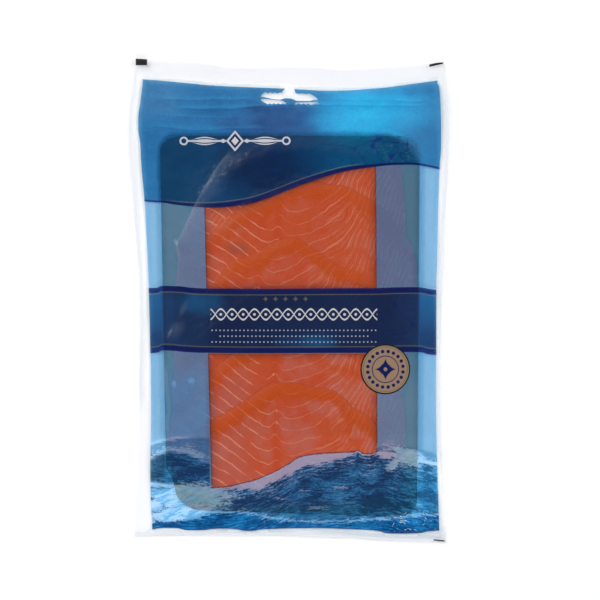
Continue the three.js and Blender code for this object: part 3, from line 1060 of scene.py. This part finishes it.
class Print:
    """The print on one stretch of the film, laid down ink by ink."""

    def __init__(self, tree):
        self.tree = tree
        self.place, self.x, self.y = place_on_pack(tree)
        self.through, self.body, self.cover = CLEAR.through, CLEAR.body, CLEAR.cover
        sides = (self.x - on_curve(self.y, FIELD_LEFT)).least(on_curve(self.y, FIELD_RIGHT) - self.x)
        ends = (on_curve(self.x, FIELD_TOP) - self.y).least(self.y - on_curve(self.x, FIELD_FOOT))
        self.depth = sides.least(ends)
        self.field = inside(self.depth)

    def lay(self, ink, mask):
        """Covers what is printed so far with an ink, where the mask is 1."""
        through = blended(self.tree, mask, self.through, ink.through)
        body = blended(self.tree, mask, self.body, ink.body)
        self.cover = mask * ink.cover + (1 - mask) * self.cover
        self.through, self.body = through, body

    def shade(self, mask, tint, body_tint=None):
        """Deepens what is printed so far, where the mask is 1: its own body by another tint."""
        self.through = blended(self.tree, mask, self.through, tint, "MULTIPLY")
        self.body = blended(self.tree, mask, self.body, body_tint or tint, "MULTIPLY")

    def veil(self, mask, colour):
        """A thin layer over what is printed so far: painted sheen and glints in some places, a tint in
        others.
        """
        cover = mask + (1 - mask) * self.cover
        self.body = blended(self.tree, mask / cover, self.body, colour)
        self.cover = cover

    def cloud(self, scale, detail=2, rough=0.5, stretch=(1, 1, 1), place=None, turn=0.0):
        """Noise about zero."""
        return noise(self.tree, place or self.place, scale, detail, rough, stretch, turn) - 0.5

    def within_board(self, corner):
        """How far a place lies within the board's outline, with corners rounded to a radius."""
        lean = step_up(self.x, 1, -1) * (BOARD_SKEW + BOARD_SKEW_RIGHT) - BOARD_SKEW_RIGHT
        slid = (BOARD_LENGTH / 2 + BOARD_CENTRE[1] - self.y) * lean
        across = abs(self.x - slid - BOARD_CENTRE[0]) + (corner - BOARD_WIDTH / 2)
        along = abs(self.y - BOARD_CENTRE[1]) + (corner - BOARD_LENGTH / 2)
        bend = hypotenuse(across.most(0), along.most(0))
        return across.most(along).least(0) * -1 - bend + corner

    def spot(self, centre, reach, turn=0.0):
        """0 in the middle of an oval, 1 on its outline."""
        x, y = self.x - centre[0], self.y - centre[1]
        c, s = math.cos(turn), math.sin(turn)
        return hypotenuse((x * c + y * s) / reach[0], (y * c - x * s) / reach[1])


def lay_seal(ink):
    """The unprinted seal round the field: slightly hazy film with streaks, a firm edge, and painted light
    by the print and at the foot.
    """
    rim = read_rim(ink.tree)
    ends = step_up(abs(ink.y - 3), 108, 118)
    level = ink.cloud(0.5, 4, 0.6, (0.08, 1, 1))
    upright = ink.cloud(0.5, 4, 0.6, (1, 0.05, 1))
    streak = level * ends + upright * (1 - ends)
    sides = step_up(ink.y + step_up(ink.x, -1, 1) * 32, -66, -48)
    foot = step_up(ink.y + step_up(ink.x, -74, -80) * 3, -124, -127)
    hazy = sides.most(foot)
    ink.lay(BARE, 1 - ink.field)
    ink.lay(HAZE, (1 - ink.field) * hazy)
    # Painted light: the margin beside the print, along the left side and the header, is whitened.
    ink.lay(PAINTED_LIGHT, step_up(ink.depth, -4, -1.2) * step_up(ink.x, 79.5, 78) * sides * 0.9)
    ink.lay(FILM_EDGE, step_up(streak, 0.04, 0.18) * step_up(ink.depth, -1.5, -3) * hazy * 0.7)
    ink.lay(FOOT_HAZE, foot * step_up(streak, 0.16, -0.02) * 0.95)
    # Painted highlights along the foot's margin.
    ink.lay(PAINTED_LIGHT, foot * step_up(streak + abs(rim - 5) * 0.05, 0.0, -0.1))
    ink.lay(FILM_EDGE, step_up(abs(rim - 1.0), 1.3, 0.3) * step_up(ink.y, 132, 122) * hazy * 0.95)
    ink.lay(FILM_EDGE, step_up(abs(rim - 0.6), 0.5, 0.1) * step_up(ink.y, 118, 128) * 0.35)


def lay_columns(ink):
    """The pale columns beside the window, with painted shadow round the board and painted sheen over it
    and the slices.
    """
    ink.lay(COLUMN, ink.field)
    ink.lay(COLUMN_PALE, ink.field * step_up(ink.depth, 1.5, 4) * step_up(ink.depth, 8.5, 5.5))
    board = ink.within_board(BOARD_CORNER)
    shadow = step_up(board, -4, -2) * 0.45 + step_up(board, -1.2, 0.1) * 0.3
    ink.shade(ink.field * shadow * step_up(board, 4, 0.3), (0.68, 0.78, 0.84), (0.66, 0.8, 0.86))
    ink.shade(ink.field * step_up(ink.depth, 2.4, 0.2), (0.93, 0.96, 0.98), (0.78, 0.9, 0.95))
    # Painted sheen on the film: at the far left beside the board, over the board and slices in the left
    # column, faintly in the right one.
    ink.veil(ink.field * step_up(ink.x, -60, -66) * step_up(board, 0.5, -1) * 0.03, PALE_VEIL)
    left = step_up(ink.x, -43, -47)
    over = ink.field * step_up(board, -1, 1)
    low = step_up(ink.y, -24, -52)
    flare = ink.cloud(0.06, 3, 0.6)
    ink.veil(over * left * (flare * 0.12 + 0.04), PALE_VEIL)
    ink.veil(over * left * (low * 0.08 + 0.012), BLUE_VEIL)
    ink.veil(over * step_up(ink.x, 47, 49) * (low * 0.065 + flare * 0.06 + 0.002), PALE_VEIL)
    ragged = step_up(abs(board - 1.3 + flare * 5), 1.6, 0.6) * step_up(ink.y, -30, -42)
    ink.veil(over * left * ragged * 0.05, WARM_VEIL)
    # Painted reflections where the film stands off the slices.
    for centre, reach in FILM_GAPS:
        ink.veil(over * step_up(ink.spot(centre, reach) + flare * 2, 1.1, 0.5) * 0.16, GAP_VEIL)


def lay_window(ink):
    """The clear window, and the print's shade on what lies under its edges."""
    x, y = ink.x, ink.y
    sides = (x - on_curve(y, WINDOW_LEFT)).least(on_curve(y, WINDOW_RIGHT) - x)
    window = sides.least(y - WINDOW_FOOT).least(WINDOW_HEAD - y)
    ink.lay(OUTLINE, ink.field * inside(window + OUTLINE_WIDTH) * 0.85)
    ink.lay(CLEAR, ink.field * inside(window))
    stripe = on_curve(x, SKY_STRIPE) - on_curve(x, STRIPE_HALF) - y
    band = (y - on_curve(x, BAND_TOP)).most(on_curve(x, BAND_FOOT) - y)
    edge = sides.least(stripe).least(band)
    near = (1 - edge / WINDOW_SHADE_REACH).most(0).least(1).power(2)
    ink.shade(ink.field * inside(window) * near, (0.77, 0.78, 0.83), (0.85, 0.85, 0.85))


class Water:
    """Chop that all the swells share, drawn along the crest of the long one."""

    def __init__(self, ink):
        self.ink = ink
        self.crest = on_curve(ink.x, CREST) - ink.y
        along = ink.tree.nodes.new("ShaderNodeCombineXYZ")
        feed(ink.tree, ink.x, along.inputs["X"])
        feed(ink.tree, self.crest, along.inputs["Y"])
        wake = along.outputs["Vector"]
        self.patch = ink.cloud(0.1, 3, 0.6, (0.5, 1.3, 1), wake)
        self.streak = ink.cloud(0.95, 4, 0.7, (0.17, 1.1, 1), wake)
        self.fleck = ink.cloud(1.2, 3, 0.7, (0.5, 1, 1), wake)
        self.tone = self.patch * 1.2 + self.streak * 1.3 + self.fleck * 0.8
        trimmed = BOARD_TRIM * step_up(ink.y, -96, -104)
        self.boarded = inside(ink.within_board(BOARD_CORNER) - trimmed, 0.4)
        self.over_slices = step_up(ink.x, -42, -44) * self.boarded

    def lay(self, mask, light):
        """Choppy water, the lighter the more light it is given."""
        tone = self.tone + light
        self.ink.lay(SEA, mask)
        self.ink.lay(SEA_DARK, mask * step_up(tone, 0.02, -0.12))
        self.ink.lay(SEA_BRIGHT, mask * step_up(tone, 0.0, 0.18))
        self.ink.lay(FOAM, mask * step_up(tone + self.patch * 0.3, 0.31, 0.42) * 0.8)


def lay_sea(ink):
    """Layered swells: two far ones, a long crest with foam on it, and a near one."""
    water = Water(ink)
    lay_far_swells(ink, water)
    lay_crest(ink, water)
    lay_near_swell(ink, water)
    lay_loose_foam(ink, water)
    ink.lay(NAVY, ink.field * step_up(ink.y - on_curve(ink.x, FIELD_FOOT), 0.9, 0.3) * 0.6)


def lay_far_swells(ink, water):
    """The two swells behind the window's foot, with spray along the nearer one."""
    x, y, patch, streak, fleck = ink.x, ink.y, water.patch, water.streak, water.fleck
    sides = ink.field * (1 - inside((x + 43.5).least(48.7 - x)))
    far = on_curve(x, FAR_SWELL) - y + patch * 3
    ink.lay(SEA, sides * step_up(far, -0.6, 1.6) * (0.55 + streak * 1.5))
    ink.lay(FOAM, sides * step_up(abs(far) + streak * 5, 1.3, 0.1) * step_up(x, -50, -62) * 0.7)
    back = on_curve(x, BACK_SWELL) - y + patch * 4
    outer = step_up(abs(x - 1), 68, 75)
    water.lay(sides * step_up(back + fleck * 2, -0.4, 0.4), outer * 0.05 - 0.06)
    dark_side = step_up(x, -67, -70) * step_up(y, -106, -101) * step_up(y, -82, -86)
    ink.shade(sides * dark_side, (0.9, 0.62, 0.6))
    blown = step_up(fleck + streak * 0.8 + patch * 0.6 + back * 0.04, -0.07, 0.05)
    spray = sides * blown * step_up(back + fleck * 6, 2.2, -0.2)
    ink.lay(FOAM, spray * 0.9)
    ink.shade(spray * water.over_slices, FOAM_OVER_SLICES, (1, 1, 1))


def lay_crest(ink, water):
    """The long swell, with a lip of foam along its crest that trails down its face."""
    patch, streak, fleck = water.patch, water.streak, water.fleck
    face = ink.field * inside(water.crest + fleck)
    water.lay(face, step_up(ink.y, -113, -103) * 0.05 - 0.035)
    left = step_up(ink.x, -14, -40)
    lip = on_curve(ink.x, FOAM_DEPTH) * (1 + patch * 1.6) + (streak * 8 + fleck * 3)
    below = water.crest - lip
    ink.lay(FOAM, face * step_up(below, 0.6, -0.8) * (0.95 - left * 0.2))
    lit = ink.field * inside(water.crest) * step_up(below, 0, -1.5)
    ink.veil(lit * (1 - left) * 0.06, WARM_VEIL)
    trail = step_up(below, 9, 0) * step_up(streak + fleck * 0.6, 0.0, 0.12)
    ink.lay(FOAM, ink.field * inside(water.crest - 0.5) * trail * 0.65)


def lay_near_swell(ink, water):
    """The swell along the foot, bright and streaked, with foam along its top."""
    patch, streak, fleck = water.patch, water.streak, water.fleck
    front = on_curve(ink.x, FRONT_SWELL) - ink.y + patch * 3
    near = ink.field * step_up(front, -0.5, 1)
    ink.lay(SEA_NEAR, near)
    ink.shade(near * step_up(water.tone, 0.0, -0.2), (0.4, 0.5, 0.55))
    ink.lay(SEA_STREAK, near * step_up(streak * 1.5 + patch + fleck * 0.5, 0.03, 0.16) * 0.8)
    ink.lay(FOAM, near * step_up(streak + fleck * 0.4, 0.15, 0.23) * 0.75)
    edge = abs(front + 0.3) - streak * 7 - fleck * 6
    ink.lay(FOAM, ink.field * step_up(edge, 0.9, 0.1) * 0.65)


def lay_loose_foam(ink, water):
    """Torn patches and flecks of foam, the window's outline and a few glints."""
    x, sea, patch, streak, fleck = ink.x, ink.field, water.patch, water.streak, water.fleck
    slanted = ink.cloud(0.42, 4, 0.65, (0.2, 1.1, 1), turn=math.radians(24))
    for centre, reach, tilt in FOAM_PATCHES:
        torn = ink.spot(centre, reach, tilt) - streak * 1.2 - fleck * 1.2 - patch * 1.4
        foam = sea * step_up(torn, 1.1, 0.65)
        over_board = foam * water.boarded
        ink.lay(FOAM, foam * 0.92)
        ink.lay(SEA_BRIGHT, foam * step_up(slanted + water.tone * 0.35, -0.02, 0.12) * 0.8)
        ink.shade(over_board, (0.7, 1, 1), (0.9, 1, 1))
        haze = (water.tone * 0.3 + step_up(x, 50, 62) * 0.07 + 0.09).most(0)
        ink.veil(over_board * haze, WARM_FOAM_AND_SHEEN)
    for centre, reach, tilt in FOAM_FLECKS:
        torn = ink.spot(centre, reach, tilt) - streak * 2.6 - fleck * 3
        flecks = sea * step_up(torn, 1.0, 0.3)
        ink.lay(FOAM, flecks * 0.55)
        ink.shade(flecks * water.over_slices, FOAM_OVER_SLICES, (1, 1, 1))
    at_crest = inside(0.28 - abs(water.crest + fleck)) * inside((x + 43).least(49 - x))
    ink.lay(OUTLINE, sea * at_crest * 0.7)
    crinkle = step_up(abs(ink.cloud(0.3, 0)), 0.02, 0.006)
    crinkled = crinkle * step_up(ink.spot((70, -123), (15, 7)), 1.1, 0.7)
    ink.veil(sea * crinkled * step_up(ink.cloud(0.5, 1), 0.02, 0.1) * 0.8, GLINT)


def lay_sky(ink):
    """The blue top field, down to its swept edge with a navy stripe and a fine gold line."""
    over = ink.y - on_curve(ink.x, SKY_STRIPE)
    sky = ink.field * inside(over)
    cloud = ink.cloud(0.022, 3, 0.55, (1, 2, 1))
    mottle = ink.cloud(0.1, 4, 0.65, (0.6, 1.2, 1))
    lay_sky_blues(ink, sky, cloud, mottle)
    lay_header_creases(ink, sky, cloud)
    lay_sky_over_contents(ink, sky, cloud, mottle)
    half = on_curve(ink.x, STRIPE_HALF)
    fading = step_up((ink.x + 70).least(44 - ink.x), 0, 14)
    ink.lay(NAVY, ink.field * inside(half - abs(over)))
    gold = inside(GOLD_LINE_HALF - abs(over - half - SKY_GOLD_GAP))
    ink.lay(GOLD_LINE, ink.field * gold * fading * 0.5)


def lay_sky_blues(ink, sky, cloud, mottle):
    """The field's blue, deep and glowing in turn, and pale towards its corners."""
    x, y = ink.x, ink.y
    ink.lay(SKY, sky)
    ink.lay(SKY_DEEP, sky * step_up(ink.spot((-6, 84), (38, 30)) + mottle, 1.1, 0.5) * 0.8)
    for centre, reach, strength in SKY_GLOWS:
        spread = ink.spot(centre, reach) + mottle * 1.1 + cloud
        ink.lay(SKY_GLOW, sky * step_up(spread, 1.15, 0.1) * strength)
    ink.lay(SKY_PALE, sky * step_up(ink.spot((-70, 112), (17, 13)) + mottle * 2.6, 1.2, 0.3) * 0.5)
    ink.lay(SKY_PALE, sky * step_up(ink.depth, 3, 0.6) * step_up(y, 78, 96) * step_up(x, -60, -70) * 0.4)
    ink.lay(SKY_PALE, sky * step_up(ink.spot((72, 96), (14, 26)) + mottle * 3, 1.2, 0.3) * 0.25)
    ink.shade(sky * step_up(mottle, 0.08, -0.16), (0.85, 0.88, 0.9), (0.8, 0.86, 0.9))
    dim = step_up(ink.spot((-8, 102), (30, 15)) + mottle * 1.6, 1.2, 0.1)
    ink.shade(sky * dim, (0.95, 0.74, 0.8), (0.9, 0.72, 0.78))
    ink.veil(sky * step_up(y, 92, 102) * step_up(x, 60, 20) * 0.012, PALE_VEIL)


def lay_header_creases(ink, sky, cloud):
    """Shade and light along the creases across the header."""
    bend = (ink.x * 0.045).calc("SINE") * 0.9 + cloud * 7
    for level, left, right, strength in HEADER_CREASES:
        off = ink.y - level - bend
        held = sky * step_up((ink.x - left).least(right - ink.x), 0, 14) * strength
        ink.shade(held * step_up(abs(off), 0.8, 0.1), (0.7, 0.78, 0.84), (0.62, 0.72, 0.8))
        under = held * step_up(off, -6, -0.4) * step_up(off, 0.2, -0.4)
        ink.shade(under, (0.8, 0.85, 0.9), (0.72, 0.8, 0.86))
        ink.lay(SKY_GLOW, held * step_up(off, 3.2, 1.0) * step_up(off, 0.2, 0.9) * 0.4)


def lay_sky_over_contents(ink, sky, cloud, mottle):
    """The field darkens over the board (partly painted shade) and the slices, with painted light above the
    board and fine loops where they touch it.
    """
    x, y = ink.x, ink.y
    rightward = step_up(x, -30, 40)
    board = ink.within_board(rightward * 15 + 9) + mottle * 3
    # A strip of painted light just above the board's top edge, where the film slopes down from it.
    strip = step_up(board, -5.5, -3) * step_up(board, -0.5, -2) * step_up(y, 86, 92)
    ink.lay(SKY_GLOW, sky * strip * step_up(x, 12, 42) * 0.45)
    # Painted shade over the board, soft-edged where the film lifts off it; it also stands in for the
    # darker board seen through the ink.
    over_board = step_up(board, rightward * -1.6 - 2.9, rightward * 0.9 + 0.3)
    ink.shade(sky * over_board, (0.85, 0.95, 0.98), (0.24, 0.36, 0.43))
    ink.shade(sky * step_up(board, -1, 2) * step_up(x, -24, 24), (0.7, 1, 1), (0.3, 1, 1))
    over_slices = sky * step_up(ink.spot((-12, 72), (34, 22)) + cloud, 1.1, 0.3)
    ink.shade(over_slices, (0.78, 0.82, 0.84), (0.7, 0.56, 0.62))
    contact = step_up(abs(ink.cloud(0.13, 1) - 0.03), 0.028, 0.008)
    touched = sum(step_up(ink.spot(*oval), 1.1, 0.7) * strength for oval, strength in FILM_CONTACTS)
    ink.lay(NAVY, sky * contact * touched)
    wet = step_up(abs(ink.cloud(0.2, 1)), 0.018, 0.003) * step_up(ink.spot((60, 82), (14, 9)), 1, 0.6)
    ink.veil(sky * wet * 0.05, PALE_VEIL)


def lay_painted_sheen_and_grain(ink):
    """Painted sheen and glints where the film leaves the first slice for the board, and grainy ink."""
    edge = ink.x - on_curve(ink.y, STRETCHED_EDGE)
    length = ink.field * step_up((ink.y - 29).least(84 - ink.y), 0, 7) * step_up(edge, 0.7, 1.7)
    flare = ink.cloud(0.12, 3, 0.6)
    # Painted sheen beside the first slice's edge: warm near it, paler further out.
    ink.veil(length * step_up(edge + flare * 5, 4.5, 0.6) * 0.05, WARM_VEIL)
    ink.veil(length * step_up(edge + flare * 16, 15, 2) * 0.05, PALE_VEIL)
    for centre, reach, turn, strength in GLINT_SPOTS:
        spot = step_up(ink.spot(centre, reach, turn) + flare * 0.6, 1.1, 0.2)
        ink.veil(ink.field * spot * strength, WARM_VEIL)
    level = (ink.x - HATCH_PLACE[0]) * math.sin(HATCH_TURN)
    off = level - (ink.y - HATCH_PLACE[1]) * math.cos(HATCH_TURN) + flare * 1.5
    strand = step_up(off_row(off, HATCH_PITCH), 0.7, 0.1)
    corner = ink.field * step_up(ink.spot((-39, 44), (9, 8)), 1.1, 0.4)
    ink.veil(corner * (strand * 0.045 + 0.02), WARM_VEIL)
    grain = ink.cloud(0.9, 2, 0.7)
    ink.shade(ink.field * step_up(grain, 0.12, -0.12), (0.96, 0.96, 0.96), (0.88, 0.9, 0.92))


def lay_divider(ink):
    """A silver divider: a diamond between two leaves that end in rings."""
    across, up = abs(ink.x - DIVIDER_PLACE[0]), ink.y - DIVIDER_PLACE[1]
    start, length, half = DIVIDER_LEAF
    leaf = ((across - start).least(length).most(0) * (math.pi / length)).calc("SINE") * half
    blade = sharp(leaf - abs(up)) * sharp(abs(abs(up) - leaf * 0.55) - 0.28)
    stem = sharp(0.5 - abs(up)) * inside((across - 5).least(27 - across))
    ring = sharp(0.5 - abs(hypotenuse(across - DIVIDER_RING, up) - 1.9))
    bead = sharp(1.1 - hypotenuse(across - DIVIDER_BEAD, up))
    silver = blade.most(stem).most(ring).most(bead)
    diamond, hollow, core = (sharp(size - across - abs(up) * 0.85) for size in DIVIDER_DIAMONDS)
    ink.lay(INK_BLACK, silver.most(diamond) * 0.3)
    ink.lay(SILVER, silver.most(diamond - hollow) * 0.95)
    ink.lay(NAVY, hollow * 0.7)
    ink.lay(SILVER, core)


def lay_band(ink):
    """The dark band over the window, with a navy and a gold rule along both edges."""
    down = on_curve(ink.x, BAND_TOP) - ink.y
    up = ink.y - on_curve(ink.x, BAND_FOOT)
    depth = down.least(up)
    band = ink.field * inside(depth)
    cloud = ink.cloud(0.04, 3, 0.6)
    ink.lay(BAND, band)
    board = ink.within_board(BOARD_CORNER)
    over_board = step_up(board, -1.6, 0.8) * 0.7 + step_up(board + cloud * 30, 0, 18) * 0.3
    ink.shade(band * over_board, (0.85, 0.93, 0.96), (0.42, 0.34, 0.38))
    ink.shade(band * step_up(cloud, 0.1, -0.1) * 0.5, (0.9, 0.9, 0.9), (0.75, 0.8, 0.84))
    contact = step_up(abs(ink.cloud(0.1, 1) - 0.04), 0.02, 0.005)
    ink.lay(NAVY, band * contact * step_up(ink.spot((62, -8), (14, 18)), 1.1, 0.6) * 0.5)
    x, y, ends = ink.x, ink.y, band * step_up(board, 0.3, -1.5)
    ink.veil(band * step_up(board, 0, 2) * step_up(x, -38, -50) * 0.016, BLUE_VEIL)
    for centre, reach, strength in BAND_GLOWS:
        glow = step_up(ink.spot(centre, reach) + cloud * 2, 1.15, 0.1)
        ink.veil(band * glow * strength, BLUE_VEIL)
    # Painted sheen on the band where the film is drawn over the slices' side.
    for centre, reach, turn in BAND_SHEEN:
        painted_sheen = step_up(ink.spot(centre, reach, turn) + cloud * 2, 1.15, 0.0)
        ink.veil(band * painted_sheen * 0.045, WARM_FOAM_AND_SHEEN)
    ink.veil(ends * step_up(y, -14, 4) * (step_up(x, 0, 1) * 0.045 + 0.04), BLUE_VEIL)
    ink.shade(ends, (0.78, 0.98, 0.98))
    ink.shade(ends * step_up(y, -8, -22), (0.9, 0.7, 0.75))
    ink.lay(NAVY, band * inside(BAND_RULE - depth))
    ink.lay(GOLD_LINE, ink.field * inside(GOLD_LINE_HALF - abs(depth - BAND_GOLD_DEPTH)) * 0.8)

    # The band's shade on the slices under its foot, and its thin pale edge.
    window = ink.field * step_up(abs(x), 47, 45)
    shaded = step_up(up, -5, -0.8) * inside(up * -1)
    ink.shade(window * shaded, (0.9, 0.9, 0.9), (0.86, 0.86, 0.9))
    ink.veil(window * inside(0.3 - abs(up + 0.25)) * 0.07, WARM_VEIL)


def lay_braid(ink):
    """Two crossing waves in silver, a row of small stars over them, and three dotted rules under."""
    along, off = ink.x - BRAID_PLACE[0], ink.y - BRAID_PLACE[1]
    within = inside(BRAID_HALF - abs(along))
    swell = (along * (2 * math.pi / BRAID_WAVE)).calc("SINE") * BRAID_SWING
    strand = abs(off - swell).least(abs(off + swell))
    ink.lay(INK_BLACK, within * inside(0.85 - strand) * 0.6)
    ink.lay(SILVER, within * inside(0.5 - strand))
    ink.lay(SILVER, within * inside(0.75 - hypotenuse(off_row(along, BRAID_WAVE / 2), off)))
    for height, half in DOTTED_RULES:
        dot = inside(0.42 - hypotenuse(off_row(along, DOT_PITCH), ink.y - height))
        ink.lay(SILVER, inside(half - abs(along)) * dot * 0.8)
    across, up = ink.x - STAR_ROW_PLACE[0], ink.y - STAR_ROW_PLACE[1]
    star = inside(1.35 - astroid(off_row(across + STAR_PITCH / 2, STAR_PITCH), up))
    ink.lay(GOLD_LINE, inside(STAR_ROW_HALF - abs(across)) * star)


def lay_roundel(ink):
    """A beige roundel with a ring of dots and a compass star."""
    across, up = ink.x - ROUNDEL[0], ink.y - ROUNDEL[1]
    radius = hypotenuse(across, up)
    ink.lay(INK_BLACK, inside(ROUNDEL_RADIUS - radius))
    ink.lay(BEIGE, inside(ROUNDEL_RADIUS - 0.7 - radius))
    ink.lay(GOLD_LINE, inside(0.25 - abs(radius - ROUNDEL_RADIUS + 1.5)) * 0.6)
    turn = up.calc("ARCTAN2", across)
    dot = off_row(turn, 2 * math.pi / ROUNDEL_DOTS) * radius
    ink.lay(NAVY, inside(0.95 - hypotenuse(dot, radius - ROUNDEL_DOT_RING)))
    ink.lay(NAVY, inside(0.22 - abs(radius - ROUNDEL_INNER_RING)))
    star, diagonal = astroid(across, up), astroid(across + up, across - up)
    ink.lay(NAVY, inside(3.3 - star).most(inside(3.1 - diagonal)))
    ink.lay(BEIGE, inside(1.1 - radius))


def lay_marks(ink):
    """Black register marks in the film's corners: (left, right, foot, top, slant)."""
    for left, right, foot, top, slant in REGISTER_MARKS:
        level = ink.y - ink.x * slant
        box = (ink.x - left).least(right - ink.x).least(level - foot).least(top - level)
        ink.lay(INK_BLACK, inside(box))


# What is printed on each stretch of the front film.
FILM_STRETCHES = {
    "film_seal": (lay_seal, lay_marks),
    "film_sky": (lay_columns, lay_window, lay_sky, lay_painted_sheen_and_grain, lay_divider),
    "film_middle": (lay_columns, lay_window, lay_painted_sheen_and_grain),
    "film_band": (lay_columns, lay_window, lay_band, lay_braid, lay_roundel),
    "film_sea": (lay_columns, lay_window, lay_sea),
}


def film_stretch(x, y):
    """Which stretch of the front film a place is on."""
    def at(knots, place):
        return np.interp(place, *zip(*knots))

    sides = min(x - at(FIELD_LEFT, y), at(FIELD_RIGHT, y) - x)
    ends = min(at(FIELD_TOP, x) - y, y - at(FIELD_FOOT, x))
    if min(sides, ends) < -FILM_CELL:
        return "film_seal"
    if y > at(SKY_STRIPE, x) - 2 * FILM_CELL:
        return "film_sky"
    if math.dist((x, y), ROUNDEL) < ROUNDEL_RADIUS + FILM_CELL:
        return "film_band"
    if at(BAND_FOOT, x) - FILM_CELL < y < at(BAND_TOP, x) + FILM_CELL:
        return "film_band"
    return "film_sea" if y < SEA_REACH else "film_middle"


def printed_film_finish(name, layers, shine):
    """Film with its inks: matt where they cover, clear and tinted where they let light through."""
    material, tree, output, shader = new_material(name)
    ink = Print(tree)
    for lay in layers:
        lay(ink)
    feed(tree, ink.body, shader.inputs["Base Color"])
    dial(shader, {"Roughness": 0.3, "Specular IOR Level": 0.0})
    clear = tree.nodes.new("ShaderNodeBsdfTransparent")
    feed(tree, ink.through, clear.inputs["Color"])
    layered = tree.nodes.new("ShaderNodeMixShader")
    feed(tree, ink.cover, layered.inputs["Fac"])
    tree.links.new(clear.outputs[0], layered.inputs[1])
    tree.links.new(shader.outputs[0], layered.inputs[2])
    glossed(tree, output, layered.outputs[0], ink.place, shine)
    return material


def glossed(tree, output, under, place, shine):
    """The film's gloss, the same from either side, over what is under it."""
    normal = bumped(tree, noise(tree, place, 0.22, 1, 0.5), FILM_RELIEF, 0.5)
    facing = tree.nodes.new("ShaderNodeLayerWeight")
    dial(facing, {"Blend": 0.5})
    tree.links.new(normal, facing.inputs["Normal"])
    slant = Field(tree, facing.outputs["Facing"])
    gloss = tree.nodes.new("ShaderNodeBsdfGlossy")
    dial(gloss, {"Color": (1, 1, 1, 1), "Roughness": 0.13})
    tree.links.new(normal, gloss.inputs["Normal"])
    top = tree.nodes.new("ShaderNodeMixShader")
    feed(tree, slant.power(5) * 0.9 + shine, top.inputs["Fac"])
    tree.links.new(under, top.inputs[1])
    tree.links.new(gloss.outputs[0], top.inputs[2])
    tree.links.new(top.outputs[0], output.inputs["Surface"])


def clear_film_finish():
    """The unprinted back film."""
    material, tree, output, shader = new_material("clear_film")
    place, _, _ = place_on_pack(tree)
    tree.nodes.remove(shader)
    clear = tree.nodes.new("ShaderNodeBsdfTransparent")
    dial(clear, {"Color": (0.99, 0.99, 0.995, 1)})
    glossed(tree, output, clear.outputs[0], place, SEAL_SHINE)
    return material


# --------------------------------------------------------------- build pieces
board = rounded_board()
slices = [salmon_slice(index) for index in range(SLICE_COUNT)]
pouch = film_pouch([board, *slices])

board.data.materials.append(board_finish())
salmon = salmon_finish()
for piece in slices:
    piece.data.materials.append(salmon)
pouch.data.materials.clear()
for name, layers in FILM_STRETCHES.items():
    shine = SEAL_SHINE if name == "film_seal" else FILM_SHINE
    pouch.data.materials.append(printed_film_finish(name, layers, shine))
pouch.data.materials.append(clear_film_finish())
stretch_names = [*FILM_STRETCHES, "clear_film"]
for face in pouch.data.polygons:
    front = face.normal.z > FACES_FRONT
    stretch = film_stretch(face.center.x, face.center.y) if front else "clear_film"
    face.material_index = stretch_names.index(stretch)

for piece, slot in [(board, "board"), (pouch, "film"), *((piece, "salmon") for piece in slices)]:
    piece.data.transform(Matrix.Scale(MM, 4))
    piece.data.update()
    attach(piece, "root")
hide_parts("pouch")

# ------------------------------------------------------ floor, light, camera
FLOOR_HALF = 1.5
STUDIO_COLOUR = (0.97, 0.98, 1, 1)
# Soft lights aimed at the pack's middle: (name, place, width and length, watts).
SOFTBOXES = (
    ("key_left", (-0.75, 0.55, 0.85), (1.0, 1.0), 7.6),
    ("fill_right", (0.85, 0.25, 0.8), (0.55, 0.55), 5.0),
    ("fill_foot", (0.05, -0.95, 0.8), (0.6, 0.4), 4.6),
    ("spark_left", (-0.55, 0.5, 1.0), (0.09, 0.09), 1.1),
)

floor_mesh = bmesh.new()
bmesh.ops.create_grid(floor_mesh, x_segments=8, y_segments=8, size=FLOOR_HALF)
floor = new_piece("floor", floor_mesh)
floor_material, _, _, floor_shader = new_material("pale_floor")
dial(floor_shader, {
    "Base Color": (0.91, 0.91, 0.91, 1),
    "Roughness": 0.9,
    "Specular IOR Level": 0.0,
})
floor.data.materials.append(floor_material)

scene = bpy.context.scene
scene.view_settings.view_transform = "Standard"
scene.world = bpy.data.worlds.new("studio")
scene.world.use_nodes = True

# The studio is dim overhead and glows beyond the pack's header.
studio = scene.world.node_tree
background = studio.nodes["Background"]
dial(background, {"Color": STUDIO_COLOUR})
direction = studio.nodes.new("ShaderNodeTexCoord")
split = studio.nodes.new("ShaderNodeSeparateXYZ")
studio.links.new(direction.outputs["Generated"], split.inputs["Vector"])
east, north, up = (Field(studio, split.outputs[axis]) for axis in "XYZ")
overhead = step_up(up, 0.35, 0.97)
glow = step_up(north * 0.9 - east * 0.4, 0.16, 0.5)
feed(studio, (0.5 - overhead * 0.43) + glow * 0.55, background.inputs["Strength"])

for name, place, size, power in SOFTBOXES:
    light = bpy.data.lights.new(name, "AREA")
    light.shape = "RECTANGLE"
    light.size, light.size_y = size
    light.energy = power
    lamp = bpy.data.objects.new(name, light)
    lamp.location = place
    lamp.rotation_euler = (-Vector(place)).to_track_quat("-Z", "Y").to_euler()
    scene.collection.objects.link(lamp)

# The camera looks straight down, from where a pixel of the picture is this wide on the table.
PIXEL = 0.5546 * MM
IMAGE_SIZE = 600
CAMERA_LENS = 100
CAMERA_SENSOR = 36
CAMERA_OVER = (0.00636, 0.00033)
camera_data = bpy.data.cameras.new("camera")
camera_data.lens = CAMERA_LENS
camera_data.sensor_width = CAMERA_SENSOR
camera = bpy.data.objects.new("camera", camera_data)
camera.location = (*CAMERA_OVER, PIXEL * IMAGE_SIZE * CAMERA_LENS / CAMERA_SENSOR)
scene.collection.objects.link(camera)
scene.camera = camera
